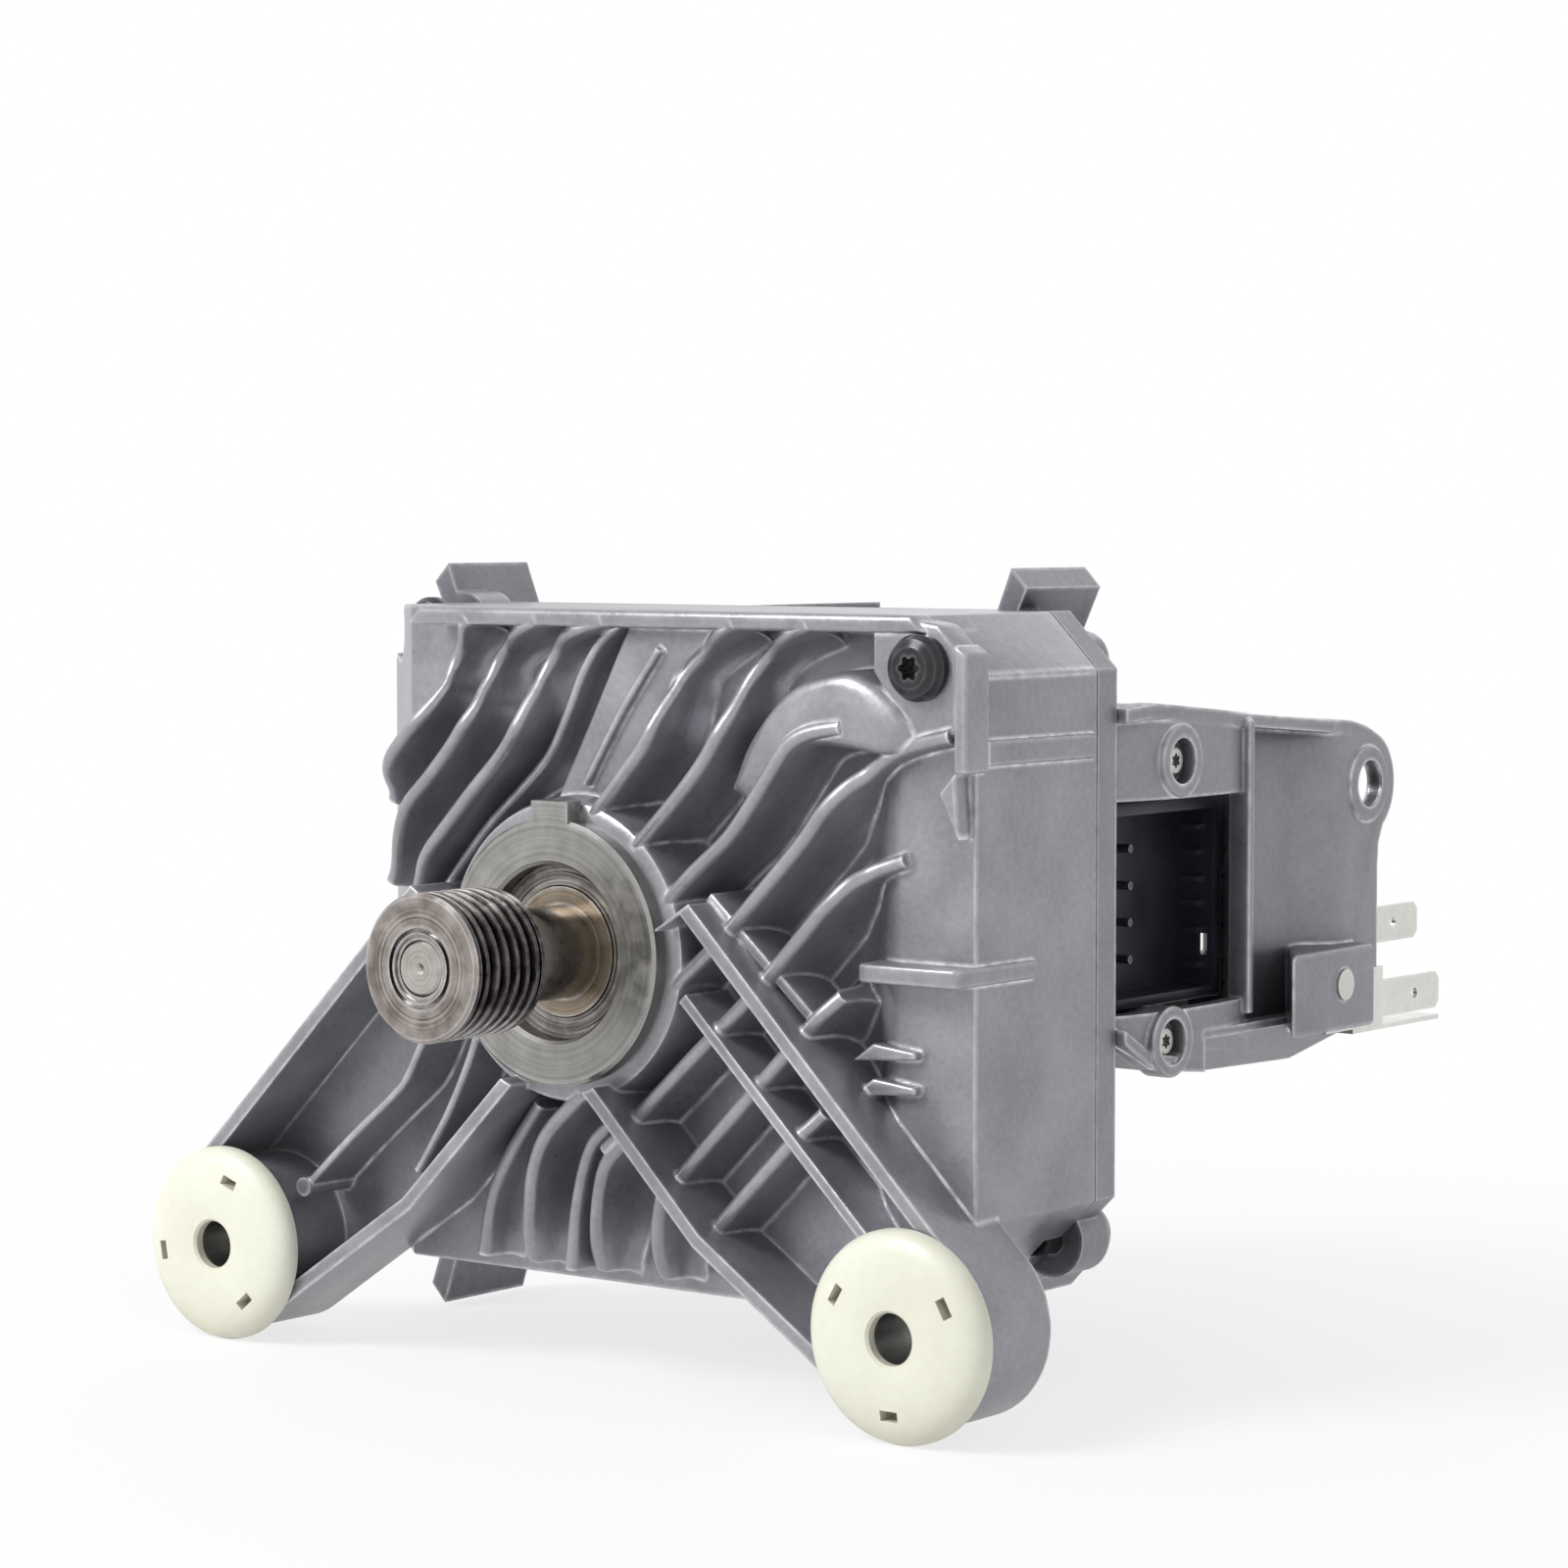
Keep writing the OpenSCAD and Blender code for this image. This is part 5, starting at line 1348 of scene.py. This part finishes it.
@dataclass
class Bush:
    """A moulded bush with a crowned flange, pressed into one arm.

    Sizes are in millimetres in the motor's frame, as in the construction. turn is the
    angle of its first slot in degrees, and crown holds radii of the flange's face and how
    far it falls back there.
    """

    side: Side
    turn: float
    place: Flat = BUSH_PLACE
    flange_r: float = 16.4
    barrel_r: float = 11.4
    bore_r: float = 4.02
    tube_r: float = 5.27
    front: float = -5.5
    shoulder: float = -1.02
    back: float = 16.0
    crown: tuple[Flat, ...] = ((6.2, 0.05), (8.0, 0.0), (11.0, 0.15), (13.4, 0.55), (15.0, 1.2), (16.0, 2.1))
    stop: float = 2.1
    slots: int = 3
    slot_r: float = 11.6
    slot_half: Flat = (0.8, 1.6)
    slot_depth: float = 3.6

    def build(self, paint: Paintshop) -> bpy.types.Object:
        """Builds and dresses the bush.

        Args:
            paint: The maker of materials.

        Returns:
            The bush.
        """
        x, z = self.side.value * self.place[0], self.place[1]
        front, shoulder, flange, bore = self.front, self.shoulder, self.flange_r, self.bore_r
        bush = lathed("bush", [
            (bore, front + 0.7), (bore + 0.4, front + 0.25), *((r, front + fall) for r, fall in self.crown),
            (flange, front + 3.2), (flange, shoulder - 0.4), (flange - 0.4, shoulder),
            (self.barrel_r, shoulder), (self.barrel_r, self.back), (self.tube_r, self.back),
            (self.tube_r, front + self.stop), (bore, front + self.stop)], (x, z), 72)
        deep, wide = self.slot_half
        for k in range(self.slots):
            a = math.radians(self.turn + 360 * k / self.slots)
            out, across = Vector((math.cos(a), math.sin(a))), Vector((-math.sin(a), math.cos(a)))
            middle = Vector((x, z)) + self.slot_r * out
            signs = ((-1, -1), (1, -1), (1, 1), (-1, 1))
            ring = [middle + deep * i * out + wide * j * across for i, j in signs]
            combined(bush, extruded("slot", [(p.x, p.y) for p in ring], front - 1, front + self.slot_depth))
        bush = merged(f"moulded_bush_{self.side.name.lower()}", [bush], 30)
        paint.dress(bush, CREAM)
        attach(bush, "casing_body")
        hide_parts(f"{self.side.name.lower()}_bush")
        LOG.info("built %s", bush.name)
        return bush


@dataclass
class ConnectorBlock:
    """The dark socket of the terminals, with a rear wing and a comb of guide ribs.

    Sizes are in millimetres in the motor's frame, as in the construction. inner and outer
    are X, front and back Y, and low and high Z of the block. comb and pins are heights
    along Z, and slot is the plan of the slot through the block and its wing.
    """

    inner: float = 59.7
    outer: float = 72.3
    front: float = 49.0
    back: float = 86.2
    low: float = -9.4
    high: float = 24.2
    rim: float = 2.0
    floor: float = 5.0
    wing: Flat = (66.4, 69.4)
    wing_end: float = 97.0
    slot: tuple[Flat, ...] = ((71.4, 81.5), (71.4, 83.1), (65.6, 90.8), (65.6, 89.2))
    slot_z: Flat = (-2.6, 0.9)
    comb: tuple[float, ...] = (-8.0, -4.2, 1.6, 6.0, 10.0, 14.4, 18.6)
    pins: tuple[float, ...] = (-2.0, 4.0, 10.0, 16.0)
    pin_y: float = 64.0
    pin_r: float = 0.73

    def box(self, name: str, x: Flat, y: Flat, z: Flat) -> bpy.types.Object:
        """Makes a plain box for the block.

        Args:
            name: The box's name.
            x: Its ends along X.
            y: Its ends along Y.
            z: Its ends along Z.

        Returns:
            The box.
        """
        return rising(name, [(x[0], y[0]), (x[1], y[0]), (x[1], y[1]), (x[0], y[1])], *z)

    def build(self, paint: Paintshop) -> bpy.types.Object:
        """Builds and dresses the block.

        Args:
            paint: The maker of materials.

        Returns:
            The block.
        """
        inner, outer, front, back = self.inner, self.outer, self.front, self.back
        low, high = self.low, self.high
        block = rounded(self.box("block", (inner, outer), (front, back), (low, high)), 0.6, 2)
        combined(block, self.box("cavity", (inner + self.floor, outer + 2), (front + self.rim, back - 2.6),
                                 (low + 1.8, high - 2.4)))
        for z in self.pins:
            ring = circle((self.pin_y, z), self.pin_r, 20)
            combined(block, drawn_out("pin_hole", [Vector((inner - 1, y, up)) for y, up in ring], (9, 0, 0)))
        wing = self.box("wing", self.wing, (back - 1, self.wing_end), (low - 3.6, high - 0.6))
        for part in (block, wing):
            combined(part, rising("slot", list(self.slot), *self.slot_z))
        face = self.wing[1]
        ribs = [self.box("comb", (face - 0.5, face + 0.5), (back - 0.5, back + 5), (z - 0.35, z + 0.35))
                for z in self.comb]
        ribs += [self.box("guide", (outer - 5, outer - 2), (back - 5, back - 2), (z - 0.4, z + 0.4))
                 for z in self.comb]
        ribs.append(self.box("skirt", (inner + 0.4, inner + 2.4), (front + 20, back + 15),
                             (low - 6.6, low + 0.5)))
        block = merged("connector_socket_block", [block, rounded(wing, 0.3, 2), *ribs])
        paint.dress(block, BLOCK)
        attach(block, "casing_body")
        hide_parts("connector_block")
        LOG.info("built %s", block.name)
        return block


@dataclass
class TerminalBracket:
    """The cast bracket that carries the connector, the terminals and the ear.

    Sizes are in millimetres in the motor's frame, as in the construction. face is X of
    the wall's outer side, and start and end are its ends along Y. window and latch hold
    their ends along Y and then along Z, and tab holds the room for the earth tab: both
    ends along X, its start along Y and both ends along Z. The ear, the feet and the rivet
    are places in Y and Z. cut_x is the range of cutters that pass through the wall.
    """

    face: float = 78.0
    thick: float = 2.5
    start: float = 48.9
    end: float = 127.5
    trough: float = 5.0
    foot_x: float = 59.53
    window: tuple[float, float, float, float] = (45.0, 86.5, -9.5, 24.5)
    ear: Flat = (124.0, 24.0)
    ear_r: float = 4.0
    ear_outer_r: float = 9.0
    foot_r: float = 5.0
    screw_r: float = 1.9
    head_r: float = 3.7
    feet: tuple[Flat, ...] = ((64.5, 30.5), (62.0, -14.5))
    latch: tuple[float, float, float, float] = (91.8, 119.6, -16.8, -2.8)
    latch_back: Flat = (72.5, 107.0)
    latch_face: float = 82.4
    rivet: Flat = (109.0, -9.0)
    tab: tuple[float, float, float, float, float] = (80.97, 81.83, 103.9, -17.1, -6.9)
    tab_beyond: float = 30.0
    rivet_r: float = 1.63
    rivet_head_r: float = 2.65
    edge_r: float = 0.4
    cut_x: Flat = (58.0, 83.0)

    def plan(self, depth: float) -> list[Flat]:
        """Gives the bowed wall's plan, from its outer face in by depth.

        Args:
            depth: How far the inner face lies behind the outer one.

        Returns:
            The plan's corners in X and Y.
        """
        x, y, low = self.face, self.start, self.face - self.trough
        curve = [(x - 3, y), (x - 2, y + 3), (x - 1.2, y + 7), (x - 0.4, y + 11.5), (x, y + 16), (x, y + 28),
                 (x - 0.5, y + 34), (x - 1.5, y + 38), (low + 0.8, y + 42.5), (low, y + 46), (low, y + 57),
                 (low + 0.9, y + 60.5), (x - 0.6, y + 64), (x, y + 67), (x, self.end + 8)]
        return [*curve, *[(a - depth, b) for a, b in reversed(curve)]]

    def across(self, name: str, ring: list[Flat], x0: float, x1: float) -> bpy.types.Object:
        """Extrudes a side view drawn in Y and Z along X.

        Args:
            name: The piece's name.
            ring: The side view's corners.
            x0: X of its inner end.
            x1: X of its outer end.

        Returns:
            The closed piece.
        """
        return drawn_out(name, [Vector((x0, y, z)) for y, z in ring], (x1 - x0, 0, 0))

    def disc(self, name: str, place: Flat, radius: float, x0: float, x1: float) -> bpy.types.Object:
        """Makes a round bar along X.

        Args:
            name: The piece's name.
            place: Y and Z of its axis.
            radius: Its radius.
            x0: X of its inner end.
            x1: X of its outer end.

        Returns:
            The closed piece.
        """
        return self.across(name, circle(place, radius, 48), x0, x1)

    def outline(self) -> list[Flat]:
        """Gives the side view of the plate with the ear.

        Returns:
            Its corners in Y and Z.
        """
        e = self.end
        ear = [(self.ear[0] + self.ear_outer_r * math.cos(a), self.ear[1] + self.ear_outer_r * math.sin(a))
               for a in (math.radians(d) for d in range(66, -58, -8))]
        return [(self.start, 39.6), (57, 40), (84, 37.6), (105, 36), (118, 35), (123, 34), *ear,
                (e + 0.3, 13.5), (e, 10), (e, -16.5), (e - 17, -22.5), (78.5, -21.5), (72, -20.4),
                (65, -19.6), (57, -18.6), (self.start, -14)]

    def plate(self) -> bpy.types.Object:
        """Builds the bowed wall with its window and ear.

        Returns:
            The wall.
        """
        wall = rising("bracket_wall", self.plan(self.thick), -30, 45)
        combined(wall, self.across("bracket_side", self.outline(), *self.cut_x), "INTERSECT")
        y0, y1, z0, z1 = self.window
        combined(wall, self.across("window", [(y0, z0), (y1, z0), (y1, z1), (y0, z1)], *self.cut_x))
        combined(wall, self.disc("ear_hole", self.ear, self.ear_r, *self.cut_x))
        return rounded(wall, 0.5, 2, 40)

    def lips(self) -> list[bpy.types.Object]:
        """Builds the folded lips along the plate's edges.

        Returns:
            The lips.
        """
        x, e = self.face, self.end
        upper = [(self.start, 39.4), (57, 39.8), (84, 37.4), (105, 35.8), (118, 34.8), (118, 32.6),
                 (105, 33.6), (84, 35.2), (57, 37.4), (self.start, 37)]
        lower = [(self.start, -13.8), (57, -18.4), (78.5, -21.3), (e - 17, -22.3), (e - 0.2, -16.4),
                 (e - 0.2, -14), (e - 17.6, -19.9), (78.5, -18.9), (57, -16), (self.start, -11.4)]
        ridge = [(x - 3.5, 84.5), (x + 0.5, 84.5), (x + 0.5, 86.3), (x - 3.5, 86.3)]
        return [rounded(self.across("upper_lip", upper, x - 10, x - 0.3), self.edge_r, 2),
                rounded(self.across("lower_lip", lower, x - 10, x - 0.3), self.edge_r, 2),
                rounded(rising("window_ridge", ridge, -12, 36.4), self.edge_r, 2)]

    def fold(self) -> bpy.types.Object:
        """Builds the lower face that folds inwards.

        Returns:
            The folded face.
        """
        x = self.face
        ring = [(x - 0.1, -13.6), (x - 0.1, -14.9), (x - 11, -26.5), (x - 13, -26.5), (x - 3, -15),
                (x - 3, -13.6)]
        fold = extruded("fold", ring, 71.4, self.end)
        return combined(fold, self.across("fold_side", self.outline(), *self.cut_x), "INTERSECT")

    def foot(self, place: Flat, wall: bpy.types.Object) -> bpy.types.Object:
        """Builds one screw's foot with its boss and clears the wall for the screw's head.

        Args:
            place: Y and Z of the screw.
            wall: The wall, which gets a hole.

        Returns:
            The foot.
        """
        x, beyond = self.face, self.face + 9
        foot = self.disc("foot", place, self.foot_r, self.foot_x, x - 1.2)
        boss = self.disc("foot_boss", place, self.foot_r + 0.8, x - 4, x + 0.3)
        combined(foot, rounded(boss, self.edge_r, 3), "UNION")
        combined(foot, self.disc("foot_hole", place, self.screw_r, self.foot_x - 1, beyond))
        combined(foot, self.disc("head_room", place, self.head_r, x - 2.5, beyond))
        combined(wall, self.disc("head_clear", place, self.head_r + 0.5, x - 2.6, beyond))
        return foot

    def latch_pad(self) -> bpy.types.Object:
        """Builds the pad that the earth tab is riveted to, with a thin skin over the tab's root.

        Returns:
            The pad.
        """
        x, beyond = self.face, self.face + 9
        y0, y1, z0, z1 = self.latch
        plan = [(self.latch_face, y0), (self.latch_face, y1), (self.latch_back[0], y1), self.latch_back]
        latch = rounded(rising("latch", plan, z0, z1), 1.0, 4)
        x0, x1, y0, z0, z1 = self.tab
        y1 = y0 + self.tab_beyond
        combined(latch, rising("tab_room", [(x0, y0), (x1, y0), (x1, y1), (x0, y1)], z0, z1))
        combined(latch, self.disc("rivet_head_room", self.rivet, self.rivet_head_r, x0 + 0.2, beyond))
        return combined(latch, self.disc("rivet_hole", self.rivet, self.rivet_r, x - 5.4, beyond))

    def build(self, paint: Paintshop) -> bpy.types.Object:
        """Builds and dresses the bracket.

        Args:
            paint: The maker of materials.

        Returns:
            The bracket.
        """
        x = self.face
        wall, *lips = [self.plate(), *self.lips()]
        for part in (wall, lips[1]):
            beyond_fold = [(x + 0.9, -14), (x + 7, -14), (x + 7, -45), (x - 18, -45), (x - 18, -31.8)]
            combined(part, extruded("fold_cut", beyond_fold, 72, 140))
        rim = combined(rounded(self.disc("ear_rim", self.ear, 6.4, x - 2, x + 0.5), self.edge_r, 2),
                       self.disc("rim_hole", self.ear, self.ear_r, x - 5, x + 5))
        feet = [self.foot(place, wall) for place in self.feet]
        bracket = merged("cast_terminal_bracket", [wall, *lips, rim, *feet, self.latch_pad(), self.fold()])
        paint.dress(bracket, CAST_BRACKET)
        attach(bracket, "casing_body")
        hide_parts("terminal_bracket")
        LOG.info("built %s", bracket.name)
        return bracket


@dataclass
class SealFaces:
    """The two stepped seals of the front bearing, seen inside the sleeve.

    Sizes are in millimetres in the motor's frame, as in the construction.
    """

    inner_r: float = 10.72
    outer_r: float = 14.45
    fronts: tuple[float, ...] = (3.2, 13.3)
    thick: float = 0.5
    groove: float = 0.34

    def build(self, paint: Paintshop) -> bpy.types.Object:
        """Builds and dresses the seals.

        Args:
            paint: The maker of materials.

        Returns:
            The seals.
        """
        washers = []
        for front in self.fronts:
            low, back = front + self.groove, front + self.thick
            washers.append(lathed("seal", [
                (self.inner_r, front), (11.1, front), (11.2, low), (11.7, low), (11.8, front), (12.8, front),
                (12.9, low), (13.4, low), (13.5, front), (14.0, front), (14.1, low), (self.outer_r, low),
                (self.outer_r, back), (self.inner_r, back)]))
        seals = merged("stepped_front_seals", washers, 30)
        paint.dress(seals, BROWN_SEAL)
        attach(seals, "casing_body")
        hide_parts("front_seals")
        LOG.info("built %s", seals.name)
        return seals


@dataclass(frozen=True)
class Lamp:
    """A soft square lamp that faces the motor. Lengths are in metres, power in watts."""

    name: str
    place: tuple[float, float, float]
    size: float
    power: float


@dataclass
class Studio:
    """The floor, the lamps and the camera, in metres.

    floor_white is the range of distances from the motor over which the floor goes from
    floor_near, the share of plain white close to the motor, to plain white all over. The
    rest of the near floor's tone is its lit colour, which carries the motor's shadow.
    """

    floor_half: float = 3.0
    floor_tone: float = 0.93
    floor_rough: float = 0.9
    floor_near: float = 0.76
    floor_white: tuple[float, float] = (0.1, 0.4)
    room_colour: tuple[float, float, float, float] = (0.95, 0.97, 1.0, 1.0)
    room_light: float = 0.45
    lamps: tuple[Lamp, ...] = (
        Lamp("key", (-0.50, -0.9, 0.9), 0.6, 15.0),
        Lamp("fill", (1.2, -0.6, 0.45), 0.9, 1.0),
        Lamp("back", (-0.4, 1.2, 0.8), 0.9, 2.0))
    lens: float = 100.7
    sensor: float = 36.0
    camera_place: tuple[float, float, float] = (0.45327, -0.53141, 0.06987)
    camera_turn: tuple[float, float, float] = (86.485, 0.0, 37.391)

    def build(self) -> None:
        """Builds the whole studio."""
        self.floor()
        self.world()
        for lamp in self.lamps:
            self.hang(lamp)
        self.camera()

    def floor(self) -> None:
        """Lays a pale floor that turns white away from the motor."""
        low = CAD_BOX[0][2]
        bpy.ops.object.select_all(action="DESELECT")
        bpy.ops.mesh.primitive_plane_add(size=2 * self.floor_half, location=(0, 0, low))
        floor = bpy.context.object
        floor.name = "studio_floor"
        material = bpy.data.materials.new("studio_floor")
        material.use_nodes = True
        nodes = Nodes(material.node_tree)
        shader = material.node_tree.nodes["Principled BSDF"]
        shader.inputs["Base Color"].default_value = (*[self.floor_tone] * 3, 1.0)
        shader.inputs["Roughness"].default_value = self.floor_rough
        white = nodes.add("ShaderNodeEmission")
        white.inputs["Strength"].default_value = 1.0
        away = nodes.add("ShaderNodeVectorMath", operation="LENGTH")
        nodes.feed(away.inputs[0], nodes.add("ShaderNodeTexCoord").outputs["Object"])
        share = nodes.stretch(away.outputs["Value"], *self.floor_white, self.floor_near, 1.0)
        mix = nodes.add("ShaderNodeMixShader")
        nodes.feed(mix.inputs[0], nodes.maths("MULTIPLY", nodes.background_rays(), share))
        nodes.feed(mix.inputs[1], shader.outputs[0])
        nodes.feed(mix.inputs[2], white.outputs[0])
        nodes.feed(material.node_tree.nodes["Material Output"].inputs["Surface"], mix.outputs[0])
        floor.data.materials.append(material)

    def world(self) -> None:
        """Lights the room softly and shows it white behind the motor."""
        world = bpy.data.worlds.new("studio")
        bpy.context.scene.world = world
        world.use_nodes = True
        nodes = Nodes(world.node_tree)
        light = world.node_tree.nodes["Background"]
        light.inputs["Color"].default_value = self.room_colour
        light.inputs["Strength"].default_value = self.room_light
        seen = nodes.add("ShaderNodeBackground")
        seen.inputs["Color"].default_value = (1.0, 1.0, 1.0, 1.0)
        seen.inputs["Strength"].default_value = 1.0
        mix = nodes.add("ShaderNodeMixShader")
        nodes.feed(mix.inputs[0], nodes.background_rays())
        nodes.feed(mix.inputs[1], light.outputs[0])
        nodes.feed(mix.inputs[2], seen.outputs[0])
        nodes.feed(world.node_tree.nodes["World Output"].inputs["Surface"], mix.outputs[0])

    def hang(self, lamp: Lamp) -> None:
        """Adds a lamp and turns it to the motor.

        Args:
            lamp: The lamp.
        """
        data = bpy.data.lights.new(lamp.name, "AREA")
        data.energy = lamp.power
        data.size = lamp.size
        light = bpy.data.objects.new(lamp.name, data)
        light.location = lamp.place
        light.rotation_euler = (-Vector(lamp.place)).to_track_quat("-Z", "Y").to_euler()
        bpy.context.scene.collection.objects.link(light)

    def camera(self) -> None:
        """Sets the camera at the photograph's viewing angle."""
        data = bpy.data.cameras.new("camera")
        data.lens = self.lens
        data.sensor_width = self.sensor
        data.clip_start = 10 * MM
        camera = bpy.data.objects.new("camera", data)
        camera.location = self.camera_place
        camera.rotation_euler = [math.radians(a) for a in self.camera_turn]
        bpy.context.scene.collection.objects.link(camera)
        bpy.context.scene.camera = camera


def main() -> None:
    """Dresses the motor, builds the new pieces and the studio."""
    logging.basicConfig(level=logging.INFO, format="%(name)s: %(message)s")
    bpy.ops.object.select_all(action="DESELECT")
    bpy.context.scene.view_settings.view_transform = "Standard"
    Studio().build()
    paint = Paintshop()
    dress_cad_nodes(paint)
    FrontShield().build(paint)
    TerminalBracket().build(paint)
    ConnectorBlock().build(paint)
    Bush(Side.LEFT, 70.0).build(paint)
    Bush(Side.RIGHT, 30.0).build(paint)
    SealFaces().build(paint)


if __name__ == "__main__":
    main()
